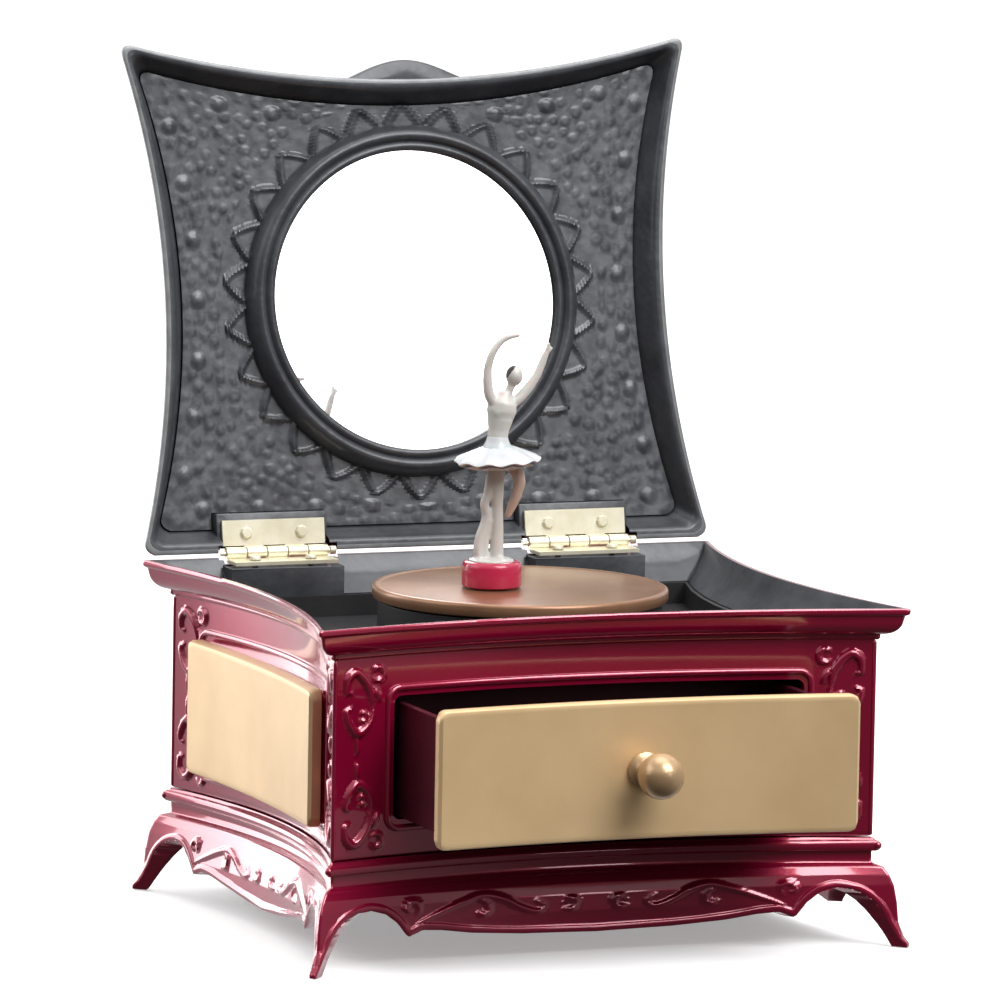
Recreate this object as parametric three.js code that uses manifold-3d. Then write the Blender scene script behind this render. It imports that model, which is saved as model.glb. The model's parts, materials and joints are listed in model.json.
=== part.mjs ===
// A ballerina jewellery box: a bow-sided musical chest on cabriole feet, with a hinged mirror
// lid, one drawer, and a spring-wound movement whose magnet arm carries the dancer round a stage.
// Millimetres, +Z up. X runs to the right, -Y to the front. The origin is on the floor, at the
// centre of the ground the box covers with its lid open and its drawer partly out.

import * as THREE from 'three';
import { mergeVertices } from 'three/addons/utils/BufferGeometryUtils.js';
import Module from 'manifold-3d';

const wasm = await Module();
wasm.setup();

// ---------------------------------------------------------------- driving dimensions

const GAP = 0.3; // clearance between pieces that rest on each other

// plan of the box wall at its corners, and how far its faces bow inwards
const WALL_X = 68.6;
const WALL_Y = 56.3;
const BOW_FRONT = 10;
const BOW_SIDE = 9;
const WALL = 2.8;

// heights
const SKIRT_TOP = 25.7;
const BODY_BOTTOM = SKIRT_TOP + GAP;
const RIM_Z = 81;
const RIM_OUT = 6.2; // how far the cornice lip stands out from the wall
const PLATE_Z = 20.8;
const PLATE_T = 2.4;
const TRAY_Z = 65;
const TRAY_T = 2;

// lid
const LID_X = 74.7;
const LID_DEPTH = 125.4;
const LID_REST = 100.5; // degrees from shut to the stop
const HINGE_Y = 61.6;
const HINGE_Z = 82;
const LID_RIM_Z = -0.5; // the lid's rim plane, from the hinge axis, when shut
const LINER_Z = 5.5; // face of the lid's liner, behind the rim plane
const MIRROR_R = 37;
const MIRROR_FROM_HINGE = 61;

// drawer
const DRAWER_OUT = 26.5; // how far the drawer is pulled out
const FRONT_X = 52.7;
const FRONT_Z = [32.1, 64.6];
const FRONT_SHUT_Y = -57.5; // outer corners of the drawer front, when shut
const FRONT_SAG = 4.4; // how far the drawer front bows inwards
const PANEL_SAG = 2.2; // and a side panel
const PANEL_T = 3.3;
const TUB_X = 50;
const TUB_Z = [34.8, 61.8];
const TUB_BACK_Y = -4.4; // when shut
const OPENING_X = 52.3;
const OPENING_Z = [34.4, 63.6];

// stage and dancer
const STAGE_R = 35.6;
const STAGE_Y = 0.8;
const STAGE_TOP = 80.7;
const STAGE_T = 3.4;
const ORBIT = [0, 12]; // the output shaft that the dancer is carried round
const DANCER = [-8.3, -1.4];
const DANCER_BASE_R = 7.2;
const DANCER_BASE_H = 6.2;

// hinges
const HINGE_XS = [-40.1, 39.3];
const LEAF_W = 26.6;
const LEAF_D = 6.6;
const LEAF_T = 0.9;
const LEAF_Z = -2.1; // underside of a leaf, from the axis
const LEAF_HOLE_X = 7.2;
const LEAF_HOLE_Y = -4.9;
const KNUCKLE_R = 1.5;
const PIN_R = 0.65;

// screw positions: under the corners, on the movement (from its shaft) and along the comb
const SCREW_XY = [[-61.4, -49.2], [61.4, -49.2], [-61.4, 49.2], [61.4, 49.2]];
const MOVEMENT_SCREWS = [[-13, 22.5], [45.5, -10]];
const COMB_SCREWS = [20, 32];

const STEEL = { color: 0xb8b8ba, roughness: 0.35, metalness: 1 };
const BRASS = { color: 0xe8dcae, roughness: 0.3, metalness: 1 };
const BURGUNDY = { color: 0x8f1238, roughness: 0.22, metalness: 0.5 };
const GOLD = { color: 0xdcbc8c, roughness: 0.45, metalness: 0.6 };
const BRONZE = { color: 0xb08a5c, roughness: 0.4, metalness: 0.8 };
const DARK = { color: 0x3a3c40, roughness: 0.6, metalness: 0.1 };
const ZINC = { color: 0x8d8f92, roughness: 0.5, metalness: 0.9 };

// ---------------------------------------------------------------- solids

function signedVolume(geometry) {
  const p = geometry.attributes.position;
  const index = geometry.index.array;
  const [a, b, c] = [new THREE.Vector3(), new THREE.Vector3(), new THREE.Vector3()];
  let volume = 0;
  for (let i = 0; i < index.length; i += 3) {
    a.fromBufferAttribute(p, index[i]);
    b.fromBufferAttribute(p, index[i + 1]);
    c.fromBufferAttribute(p, index[i + 2]);
    volume += a.dot(b.cross(c)) / 6;
  }
  return volume;
}

// Shared vertices merged, collapsed triangles dropped, faces turned outwards.
function tidy(geometry) {
  const bare = geometry.clone();
  bare.deleteAttribute('normal');
  bare.deleteAttribute('uv');
  const merged = mergeVertices(bare, 1e-3);
  const kept = [];
  const index = merged.index.array;
  for (let i = 0; i < index.length; i += 3) {
    const [a, b, c] = [index[i], index[i + 1], index[i + 2]];
    if (a !== b && b !== c && c !== a) kept.push(a, b, c);
  }
  merged.setIndex(kept);
  if (signedVolume(merged) < 0) {
    const flipped = [];
    for (let i = 0; i < kept.length; i += 3) flipped.push(kept[i], kept[i + 2], kept[i + 1]);
    merged.setIndex(flipped);
  }
  return merged;
}

function solid(geometry) {
  const closed = tidy(geometry);
  const vertProperties = new Float32Array(closed.attributes.position.array);
  const triVerts = new Uint32Array(closed.index.array);
  return new wasm.Manifold(new wasm.Mesh({ numProp: 3, vertProperties, triVerts }));
}

function geometryOf(manifold) {
  const mesh = manifold.getMesh();
  const geometry = new THREE.BufferGeometry();
  geometry.setAttribute('position', new THREE.BufferAttribute(new Float32Array(mesh.vertProperties), 3));
  geometry.setIndex([...mesh.triVerts]);
  return geometry;
}

const join = (first, ...rest) => geometryOf(rest.reduce((sum, g) => sum.add(solid(g)), solid(first)));
const cut = (first, ...rest) => geometryOf(rest.reduce((sum, g) => sum.subtract(solid(g)), solid(first)));
const common = (first, second) => geometryOf(solid(first).intersect(solid(second)));

const block = (x0, x1, y0, y1, z0, z1) =>
  new THREE.BoxGeometry(x1 - x0, y1 - y0, z1 - z0).translate((x0 + x1) / 2, (y0 + y1) / 2, (z0 + z1) / 2);

// A round bar along Z from z0 to z1.
const rod = (r, z0, z1, sides = 16, x = 0, y = 0) =>
  new THREE.CylinderGeometry(r, r, z1 - z0, sides).rotateX(Math.PI / 2).translate(x, y, (z0 + z1) / 2);

// A turned piece about Z from [radius, height] points, closed on the axis or on itself.
const turned = (points, sides = 48) =>
  new THREE.LatheGeometry(points.map(([r, z]) => new THREE.Vector2(r, z)), sides).rotateX(Math.PI / 2);

const ringOf = (inner, outer, z0, z1, sides = 48) =>
  turned([[inner, z0], [outer, z0], [outer, z1], [inner, z1], [inner, z0]], sides);

const alongX = (geometry) => geometry.rotateY(Math.PI / 2);

function roundedRect(halfX, halfY, r, steps = 4) {
  const points = [];
  for (const [sx, sy, start] of [[1, 1, 0], [-1, 1, 90], [-1, -1, 180], [1, -1, 270]]) {
    for (let i = 0; i <= steps; i++) {
      const a = THREE.MathUtils.degToRad(start + (90 * i) / steps);
      points.push(new THREE.Vector2(sx * (halfX - r) + r * Math.cos(a), sy * (halfY - r) + r * Math.sin(a)));
    }
  }
  return points;
}

const prism = (points, depth) =>
  new THREE.ExtrudeGeometry(new THREE.Shape(points), { depth, bevelEnabled: false });

// ---------------------------------------------------------------- the bow-sided plan

// Outline with a bowed front, bowed sides, a straight back and eased corners, anticlockwise.
function plan(halfX, halfY, bowFront, bowSide, ease = 1.2, steps = [12, 8]) {
  const points = [];
  const sweep = (count, half, place) => {
    const end = 1 - ease / half;
    for (let i = 0; i <= count; i++) points.push(place(end * (-1 + (2 * i) / count)));
  };
  const corner = (sx, sy) => points.push(new THREE.Vector2(sx * (halfX - ease * 0.3), sy * (halfY - ease * 0.3)));
  const bulge = (t, bow) => bow * (1 - t * t);
  sweep(steps[0], halfX, (t) => new THREE.Vector2(t * halfX, -halfY + bulge(t, bowFront)));
  corner(1, -1);
  sweep(steps[1], halfY, (t) => new THREE.Vector2(halfX - bulge(t, bowSide), t * halfY));
  corner(1, 1);
  sweep(1, halfX, (t) => new THREE.Vector2(-t * halfX, halfY));
  corner(-1, 1);
  sweep(steps[1], halfY, (t) => new THREE.Vector2(-halfX + bulge(t, bowSide), -t * halfY));
  corner(-1, -1);
  return points;
}

const wallPlan = (out) => plan(WALL_X + out, WALL_Y + out, BOW_FRONT, BOW_SIDE);

function ringsMesh(rings, looped) {
  const count = rings[0].length;
  const positions = rings.flat().flatMap((p) => [p.x, p.y, p.z]);
  const index = [];
  const last = looped ? rings.length : rings.length - 1;
  for (let r = 0; r < last; r++) {
    const next = (r + 1) % rings.length;
    for (let i = 0; i < count; i++) {
      const j = (i + 1) % count;
      const [a, b, c, d] = [r * count + i, r * count + j, next * count + j, next * count + i];
      index.push(a, b, c, a, c, d);
    }
  }
  if (!looped) {
    const flat = rings[0].map((p) => new THREE.Vector2(p.x, p.y));
    const top = (rings.length - 1) * count;
    for (const [a, b, c] of THREE.ShapeUtils.triangulateShape(flat, [])) {
      index.push(a, c, b, top + a, top + b, top + c);
    }
  }
  const geometry = new THREE.BufferGeometry();
  geometry.setAttribute('position', new THREE.Float32BufferAttribute(positions, 3));
  geometry.setIndex(index);
  return geometry;
}

const atHeight = (points, z) => points.map((p) => new THREE.Vector3(p.x, p.y, z));

// A moulding: the closed [out, z] profile run round the plan.
const moulding = (profile, outline = wallPlan) =>
  ringsMesh(profile.map(([out, z]) => atHeight(outline(out), z)), true);

// A full solid: the plan at each [out, z], closed at both ends.
const stack = (profile, outline = wallPlan) =>
  ringsMesh(profile.map(([out, z]) => atHeight(outline(out), z)), false);

const wallYAt = (x, out = 0) => -(WALL_Y + out) + BOW_FRONT * (1 - (x / (WALL_X + out)) ** 2);
const wallXAt = (y, out = 0) => WALL_X + out - BOW_SIDE * (1 - (y / (WALL_Y + out)) ** 2);

// ---------------------------------------------------------------- scene helpers

const box = new THREE.Group();

function add(group, name, geometry, look) {
  const mesh = new THREE.Mesh(tidy(geometry), new THREE.MeshStandardMaterial(look));
  mesh.name = name;
  group.add(mesh);
  return mesh;
}

// A screw, head up, the underside of its head at z = 0.
const screw = (shank, head, length) =>
  turned([[0, -length], [shank, -length], [shank, 0], [head, 0], [head * 0.8, head * 0.5], [0, head * 0.5]], 8);

// ---------------------------------------------------------------- the box

// A gently bowed plate, standing, centred on x = 0; its outer face looks along -Y.
function bowedPanel(halfX, z, thickness, sag, radius) {
  const count = 12;
  const rim = [];
  for (let i = 0; i <= count; i++) {
    const t = -1 + (2 * i) / count;
    rim.push(new THREE.Vector2(t * halfX, sag * (1 - t * t)));
  }
  for (let i = count; i >= 0; i--) {
    const t = -1 + (2 * i) / count;
    rim.push(new THREE.Vector2(t * halfX, thickness + sag * (1 - t * t)));
  }
  const height = z[1] - z[0];
  const slab = prism(rim, height).translate(0, 0, z[0]);
  const face = prism(roundedRect(halfX, height / 2, radius), 40);
  face.rotateX(Math.PI / 2).translate(0, 20, (z[0] + z[1]) / 2);
  return common(slab, face);
}

function frameRound(halfX, z, wide, radius, depth) {
  const middle = (z[0] + z[1]) / 2;
  const half = (z[1] - z[0]) / 2;
  const shape = new THREE.Shape(roundedRect(halfX + wide, half + wide, radius + wide));
  shape.holes.push(new THREE.Path(roundedRect(halfX, half, radius).reverse()));
  const geometry = new THREE.ExtrudeGeometry(shape, { depth, bevelEnabled: false });
  return geometry.rotateX(Math.PI / 2).translate(0, depth / 2, middle);
}

function opening(halfX, z, radius, depth) {
  const half = (z[1] - z[0]) / 2;
  return prism(roundedRect(halfX, half, radius), depth)
    .rotateX(Math.PI / 2)
    .translate(0, depth / 2, (z[0] + z[1]) / 2);
}

const PANEL_Y = 43; // half length of a side panel
const PANEL_Z = [31.6, 64.2];
const PANEL_X = 69.6; // outer corners of a side panel

function bodyShell() {
  const inner = -WALL;
  const walls = moulding([
    [0, BODY_BOTTOM], [0, 73.2], [0.7, 73.5], [0.7, 74.4], [2.3, 75.2], [4.3, 76.3], [5.3, 77.8],
    [5.6, 79.6], [RIM_OUT, 80], [RIM_OUT, RIM_Z], [RIM_OUT - 1.8, RIM_Z], [3.4, 78.6], [0.6, 75.4],
    [inner, 72.6], [inner, BODY_BOTTOM],
  ]);
  const bead = common(
    moulding([[-1, 28], [1.3, 28], [1.3, 71], [-1, 71]]),
    frameRound(OPENING_X, OPENING_Z, 2.6, 1.6, 40).translate(0, -60, 0),
  );
  const mouth = opening(OPENING_X, OPENING_Z, 1.6, 40).translate(0, -60, 0);
  const pads = [-1, 1].map((side) => {
    const reach = PANEL_X - PANEL_T - GAP;
    const pad = block(reach - 12, reach, -PANEL_Y + 2.5, PANEL_Y - 2.5, PANEL_Z[0] + 2.5, PANEL_Z[1] - 2.5);
    const hollow = stack([[inner, 0], [inner, 90]]);
    const trimmed = cut(cut(pad, hollow), bowCutter());
    return side > 0 ? trimmed : trimmed.clone().scale(-1, 1, 1);
  });
  const bosses = HINGE_XS.map((x) =>
    block(x - LEAF_W / 2 - 1.2, x + LEAF_W / 2 + 1.2, 52.6, HINGE_Y - 2.4, 68, HINGE_Z - 2.6));
  const notches = HINGE_XS.map((x) =>
    block(x - LEAF_W / 2 - 0.5, x + LEAF_W / 2 + 0.5, 53.4, 70, HINGE_Z - 2.5, 90));
  const pinEnds = HINGE_XS.map((x) =>
    block(x - LEAF_W / 2 - 1.8, x + LEAF_W / 2 + 2.4, HINGE_Y - 1.6, 70, HINGE_Z - 1.6, 90));
  const pilots = HINGE_XS.flatMap((x) =>
    [-1, 1].map((s) => rod(1.1, 74, 90, 8, x + s * LEAF_HOLE_X, HINGE_Y + LEAF_HOLE_Y)));
  return cut(join(walls, bead, ...pads, ...bosses), mouth, ...notches, ...pinEnds, ...pilots);
}

// Takes the hollow of a side panel's back out of the pad behind it.
function bowCutter() {
  const rim = [];
  const reach = PANEL_X - PANEL_T - GAP;
  for (let i = 0; i <= 12; i++) {
    const t = -1 + (2 * i) / 12;
    rim.push(new THREE.Vector2(reach - PANEL_SAG * (1 - t * t), t * PANEL_Y));
  }
  rim.push(new THREE.Vector2(reach + 9, PANEL_Y), new THREE.Vector2(reach + 9, -PANEL_Y));
  return prism(rim, 100);
}

// One side's lower edge, as a cutter that runs through the skirt: arches by the feet, a cusp, and
// a shallow apron between the cusps.
function apronCutter(half, cusp) {
  const arch = [[half + 3, -1], [half + 2.2, 1], [half + 0.8, 5], [half - 1, 8.6], [half - 4.1, 12], [half - 9.5, 13.8]];
  const toApron = [[half - 15, 13.2], [cusp + 2.6, 10.6], [cusp, 7.2], [cusp - 4, 8.6], [cusp - 14, 6.9]];
  const side = [...arch, ...toApron];
  const right = side.map(([x, z]) => new THREE.Vector2(x, z));
  const left = side.map(([x, z]) => new THREE.Vector2(-x, z)).reverse();
  const outline = [...right, new THREE.Vector2(0, 5.6), ...left];
  return prism(outline, APRON_CUT).rotateX(Math.PI / 2);
}

const APRON_CUT = 200;
const FOOT_OUT = 7.1;

function baseSkirt() {
  const walls = moulding([
    [0.6, SKIRT_TOP], [1.75, 24.4], [1.5, 22.9], [0.1, 22.3], [0.1, 19.6], [2.3, 18.8], [4.3, 14.5],
    [5.2, 6], [6.1, 2.4], [FOOT_OUT, 0.9], [FOOT_OUT, 0], [3.3, 0], [2.3, 3], [1.5, 8], [0.3, 13], [-WALL, 18],
    [-WALL, 23.5], [-9, 23.5], [-9, SKIRT_TOP],
  ]);
  const through = apronCutter(70, 45.5).translate(0, APRON_CUT / 2, 0);
  const across = apronCutter(57.7, 37).translate(0, APRON_CUT / 2, 0).rotateZ(Math.PI / 2);
  const holes = SCREW_XY.map(([x, y]) => rod(1.4, 22, 26.5, 10, x, y));
  return cut(walls, through, across, ...holes);
}

function bottomPlate() {
  const slab = stack([[-WALL - 0.4, PLATE_Z], [-WALL - 0.4, PLATE_Z + PLATE_T]]);
  const holes = SCREW_XY.map(([x, y]) => rod(1.5, 0, 40, 10, x, y));
  const pilots = MOVEMENT_SCREWS.map(([x, y]) => rod(1.4, 0, 40, 10, ORBIT[0] + x, ORBIT[1] + y));
  return cut(slab, rod(4, 0, 40, 16, ...ORBIT), ...holes, ...pilots);
}

add(box, 'body_shell', bodyShell(), BURGUNDY);
add(box, 'base_skirt', baseSkirt(), BURGUNDY);
add(box, 'bottom_plate', bottomPlate(), DARK);
SCREW_XY.forEach(([x, y], i) => {
  const mesh = add(box, `bottom_screw_${i + 1}`, screw(1.1, 2.3, 4.8), STEEL);
  mesh.rotation.x = Math.PI;
  mesh.position.set(x, y, PLATE_Z - GAP);
});

for (const [name, side] of [['side_panel_right', 1], ['side_panel_left', -1]]) {
  const panel = bowedPanel(PANEL_Y, PANEL_Z, PANEL_T, PANEL_SAG, 2);
  panel.rotateZ(side * Math.PI / 2).translate(side * PANEL_X, 0, 0);
  add(box, name, panel, GOLD);
}

// ---------------------------------------------------------------- tray and stage

function innerTray() {
  const floor = stack([[-WALL - 0.4, TRAY_Z], [-WALL - 0.4, TRAY_Z + TRAY_T]]);
  const lip = moulding([[-WALL - 0.4, TRAY_Z + 1], [-WALL - 0.4, 72.2], [-WALL - 1.6, 72.2], [-WALL - 1.6, TRAY_Z + 1]]);
  const bosses = HINGE_XS.map((x) =>
    block(x - LEAF_W / 2 - 1.6, x + LEAF_W / 2 + 1.6, 52.2, 70, 67.6, 90));
  return cut(join(floor, lip), rod(3.2, 60, 70, 16, ...ORBIT), ...bosses);
}

add(box, 'inner_tray', innerTray(), DARK);

const RING_TOP = STAGE_TOP - STAGE_T - GAP;
const stageRing = ringOf(32.2, 34.2, TRAY_Z + TRAY_T + GAP, RING_TOP, 48);
add(box, 'stage_ring', stageRing.translate(0, STAGE_Y, 0), DARK);

const stageDisc = turned([
  [0, STAGE_TOP - STAGE_T], [STAGE_R - 1, STAGE_TOP - STAGE_T], [STAGE_R, STAGE_TOP - STAGE_T + 0.9],
  [STAGE_R, STAGE_TOP - 0.8], [STAGE_R - 0.8, STAGE_TOP], [0, STAGE_TOP],
], 48);
add(box, 'stage_disc', stageDisc.translate(0, STAGE_Y, 0), BRONZE);

// ---------------------------------------------------------------- drawer bay

const BAY_X = TUB_X + 0.6;
const SHELF_Z = TUB_Z[0] - GAP;
const WALL_BACK_Y = TUB_BACK_Y + 1;

function drawerShelf() {
  const clear = stack([[-WALL - 0.4, 20], [-WALL - 0.4, 40]]);
  return common(block(-60, 60, -60, WALL_BACK_Y + 2, SHELF_Z - 2.2, SHELF_Z), clear);
}

function drawerGuide(side) {
  const clear = stack([[-WALL - 0.4, 20], [-WALL - 0.4, 90]]);
  const strip = block(BAY_X, BAY_X + 1.8, -50, WALL_BACK_Y - GAP, SHELF_Z + GAP, 58);
  const kept = common(strip, clear);
  return side > 0 ? kept : kept.scale(-1, 1, 1);
}

add(box, 'drawer_shelf', drawerShelf(), DARK);
add(box, 'drawer_guide_right', drawerGuide(1), DARK);
add(box, 'drawer_guide_left', drawerGuide(-1), DARK);
const bayWall = block(-56.2, 56.2, WALL_BACK_Y, WALL_BACK_Y + 2, SHELF_Z + GAP, TRAY_Z - GAP);
add(box, 'compartment_wall', bayWall, DARK);

const drawer = new THREE.Group();
drawer.position.y = -DRAWER_OUT;
box.add(drawer);

const PANEL_BACK_Y = FRONT_SHUT_Y + PANEL_T; // back face at the panel's ends

function drawerTub() {
  const front = PANEL_BACK_Y + FRONT_SAG + GAP;
  const outer = block(-TUB_X, TUB_X, front, TUB_BACK_Y, ...TUB_Z);
  const hollow = block(-TUB_X + 2, TUB_X - 2, front + 2.2, TUB_BACK_Y - 2, TUB_Z[0] + 2, TUB_Z[1] + 5);
  const screwHole = rod(1.6, -4, 4, 12).rotateX(Math.PI / 2).translate(0, front, KNOB_Z);
  return cut(outer, hollow, screwHole);
}

const KNOB_Z = (FRONT_Z[0] + FRONT_Z[1]) / 2;
const KNOB_R = 5.4;
const KNOB_NECK = 6.45;
const FACE_Y = FRONT_SHUT_Y + FRONT_SAG; // the front's face at its middle

function drawerFront() {
  const panel = bowedPanel(FRONT_X, FRONT_Z, PANEL_T, FRONT_SAG, 2).translate(0, FRONT_SHUT_Y, 0);
  return cut(panel, rod(1.6, -8, 8, 12).rotateX(Math.PI / 2).translate(0, FACE_Y + 2, KNOB_Z));
}

// Turned about Z with its mouth at z = 0, then laid to point along -Y.
function drawerKnob() {
  const profile = [[1.5, 0], [4.2, 0], [4.2, 0.8], [2.7, 1.5], [2.3, KNOB_NECK - 1.6]];
  const centre = KNOB_NECK - 1.6 + Math.sqrt(KNOB_R ** 2 - 2.3 ** 2);
  for (let i = 1; i <= 9; i++) {
    const start = Math.asin(2.3 / KNOB_R);
    const a = start + ((Math.PI - start) * i) / 9;
    profile.push([Math.max(KNOB_R * Math.sin(a), 0), centre - KNOB_R * Math.cos(a)]);
  }
  profile.push([0, 7], [1.5, 7], [1.5, 0]);
  return turned(profile, 20).rotateX(Math.PI / 2);
}

add(drawer, 'drawer_tub', drawerTub(), { color: 0x4a1022, roughness: 0.5, metalness: 0.1 });
add(drawer, 'drawer_front', drawerFront(), GOLD);
const knob = add(drawer, 'drawer_knob', drawerKnob(), BRONZE);
knob.position.set(0, FACE_Y - GAP, KNOB_Z);

const knobScrew = turned([
  [0, 0], [2.8, 0], [2.8, 1.4], [1.15, 1.4], [1.15, 12], [0, 12],
], 12).rotateX(Math.PI / 2);
const knobScrewMesh = add(drawer, 'knob_screw', knobScrew, STEEL);
knobScrewMesh.position.set(0, FACE_Y + PANEL_T + 2.2 + GAP + 1.7, KNOB_Z);

// ---------------------------------------------------------------- hinges

// One leaf with its knuckles, lying flat under the axis (which is y = 0, z = 0) and reaching
// towards -Y. The knuckles fill every second slot from `first`.
function hingeLeaf(first) {
  const slots = 5;
  const pitch = LEAF_W / slots;
  const plate = block(-LEAF_W / 2, LEAF_W / 2, -LEAF_D - KNUCKLE_R, -KNUCKLE_R - 0.3, LEAF_Z, LEAF_Z + LEAF_T);
  const parts = [];
  for (let i = first; i < slots; i += 2) {
    const x0 = -LEAF_W / 2 + i * pitch + 0.15;
    const barrel = alongX(rod(KNUCKLE_R, 0, pitch - 0.3, 12)).translate(x0, 0, 0);
    const web = block(x0, x0 + pitch - 0.3, -KNUCKLE_R - 0.8, -0.5, LEAF_Z, LEAF_Z + LEAF_T);
    parts.push(barrel, web);
  }
  const bore = alongX(rod(PIN_R + 0.2, -20, 20, 8));
  const holes = [-1, 1].map((s) => rod(1.15, -5, 5, 8, s * LEAF_HOLE_X, LEAF_HOLE_Y));
  return cut(join(plate, ...parts), bore, ...holes);
}

const leafScrew = () => screw(0.8, 1.6, 3.6);

const lid = new THREE.Group();
lid.position.set(0, HINGE_Y, HINGE_Z);
lid.rotation.x = -THREE.MathUtils.degToRad(LID_REST);
box.add(lid);

[['left', HINGE_XS[0]], ['right', HINGE_XS[1]]].forEach(([side, x]) => {
  add(box, `hinge_${side}_lower_leaf`, hingeLeaf(0), BRASS).position.set(x, HINGE_Y, HINGE_Z);
  const upper = add(lid, `hinge_${side}_upper_leaf`, hingeLeaf(1).scale(1, 1, -1), BRASS);
  upper.position.x = x;
  const pin = alongX(join(rod(PIN_R, -LEAF_W / 2 - 1.4, LEAF_W / 2 + 1.4, 8), rod(1.1, LEAF_W / 2 + 0.6, LEAF_W / 2 + 2, 12)));
  add(box, `hinge_${side}_pin`, pin, BRASS).position.set(x, HINGE_Y, HINGE_Z);
  [-1, 1].forEach((s, i) => {
    const low = add(box, `hinge_${side}_lower_screw_${i + 1}`, leafScrew(), BRASS);
    low.position.set(x + s * LEAF_HOLE_X, HINGE_Y + LEAF_HOLE_Y, HINGE_Z + LEAF_Z + LEAF_T + 0.2);
    const high = add(lid, `hinge_${side}_upper_screw_${i + 1}`, leafScrew(), BRASS);
    high.rotation.x = Math.PI;
    high.position.set(x + s * LEAF_HOLE_X, LEAF_HOLE_Y, -LEAF_Z - LEAF_T - 0.2);
  });
});


// ---------------------------------------------------------------- lid

// In the lid's own frame it lies shut: y = 0 is the hinge axis, -Y the front, +Z outwards.
const LID_Y = -LID_DEPTH / 2 - 0.05;
const lidPlan = (out) =>
  plan(LID_X + out, LID_DEPTH / 2 + out, BOW_FRONT, BOW_SIDE).map((p) => new THREE.Vector2(p.x, p.y + LID_Y));
const fromRim = (profile) => profile.map(([out, n]) => [out, n + LID_RIM_Z]);

const MIRROR_Y = -MIRROR_FROM_HINGE;
const LINER_T = 1.6;

function fingerTab() {
  const half = 16.5;
  const reach = 5;
  const crest = [];
  for (let i = 0; i <= 12; i++) {
    const t = -1 + i / 6;
    crest.push(new THREE.Vector2(t * half, -LID_DEPTH + BOW_FRONT - reach * Math.cos((t * Math.PI) / 2) ** 1.2));
  }
  crest.push(new THREE.Vector2(half, -LID_DEPTH + BOW_FRONT + 3), new THREE.Vector2(-half, -LID_DEPTH + BOW_FRONT + 3));
  return prism(crest, 4.5).translate(0, 0, LID_RIM_Z + 1.4);
}

const crown = () => stack(fromRim([
  [0, 0], [0, 1.1], [-0.8, 2], [-2.2, 5], [-3.9, 8.2], [-6.4, 10.8], [-10.5, 12.2], [-18, 13.4], [-30, 14.2],
]), lidPlan);

// Blocks under the hinges, with `room` to spare on each side.
const hingeBlocks = (room) => HINGE_XS.map((x) =>
  block(x - LEAF_W / 2 - 1.2 - room, x + LEAF_W / 2 + 1.2 + room, -LEAF_D - 3.4 - room, 1, -LEAF_Z + GAP, 11.5));

function lidShell() {
  const recess = stack(fromRim([[-2.4, -1], [-2.8, 0.2], [-5.6, 5.4], [-6, 6.4], [-8, 9], [-14, 10.8], [-30, 11.8]]), lidPlan);
  const medallion = turned([[0, 13], [44, 13], [44, 14.4], [41, 15.6], [38, 14.4], [0, 14.4]], 48);
  medallion.translate(0, MIRROR_Y, LID_RIM_Z);
  const bosses = hingeBlocks(0).map((piece) => common(piece, crown()));
  const notches = HINGE_XS.map((x) =>
    block(x - LEAF_W / 2 - 0.5, x + LEAF_W / 2 + 0.5, -8.4, 2, -5, -LEAF_Z + GAP));
  const pilot = HINGE_XS.flatMap((x) =>
    [-1, 1].map((s) => rod(1.1, 0, 6, 8, x + s * LEAF_HOLE_X, LEAF_HOLE_Y)));
  const hollowed = cut(join(crown(), medallion, fingerTab()), recess);
  const pinEnds = HINGE_XS.map((x) => block(x - LEAF_W / 2 - 1.8, x + LEAF_W / 2 + 2.4, -1.8, 2, -5, 1.6));
  return cut(join(hollowed, ...bosses), ...notches, ...pinEnds, ...pilot);
}

// The grey inner moulding that carries the mirror, set into the shell.
function lidLiner() {
  const far = LINER_Z + LINER_T;
  const plate = stack(fromRim([[-5.9, LINER_Z], [-6, LINER_Z + 0.4], [-6.9, far]]), lidPlan);
  return cut(plate, ...hingeBlocks(GAP));
}

function mirrorBezel() {
  const foot = LINER_Z - GAP;
  const profile = [[0, 1.3], [1.2, 0.8], [2.2, 1.6], [3, 0.5], [4.4, 0.5], [6.4, 3.2], [6.6, foot]];
  const underside = [[2.2, foot], [2.2, 2.2], [0, 2.2], [0, 1.3]];
  const around = [...profile, ...underside].map(([out, n]) => [MIRROR_R + out, n + LID_RIM_Z]);
  return turned(around, 44).translate(0, MIRROR_Y, 0);
}

add(lid, 'lid_shell', lidShell(), BURGUNDY);
add(lid, 'lid_liner', lidLiner(), DARK);
add(lid, 'mirror_bezel', mirrorBezel(), DARK);
const glass = rod(MIRROR_R + 1.5, 2.5 + LID_RIM_Z, 4.7 + LID_RIM_Z, 48, 0, MIRROR_Y);
add(lid, 'mirror_glass', glass, { color: 0xf4f6f8, roughness: 0.02, metalness: 1 });

// ---------------------------------------------------------------- movement

const movement = new THREE.Group();
movement.position.set(ORBIT[0], ORBIT[1], 0);
box.add(movement);

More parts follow.
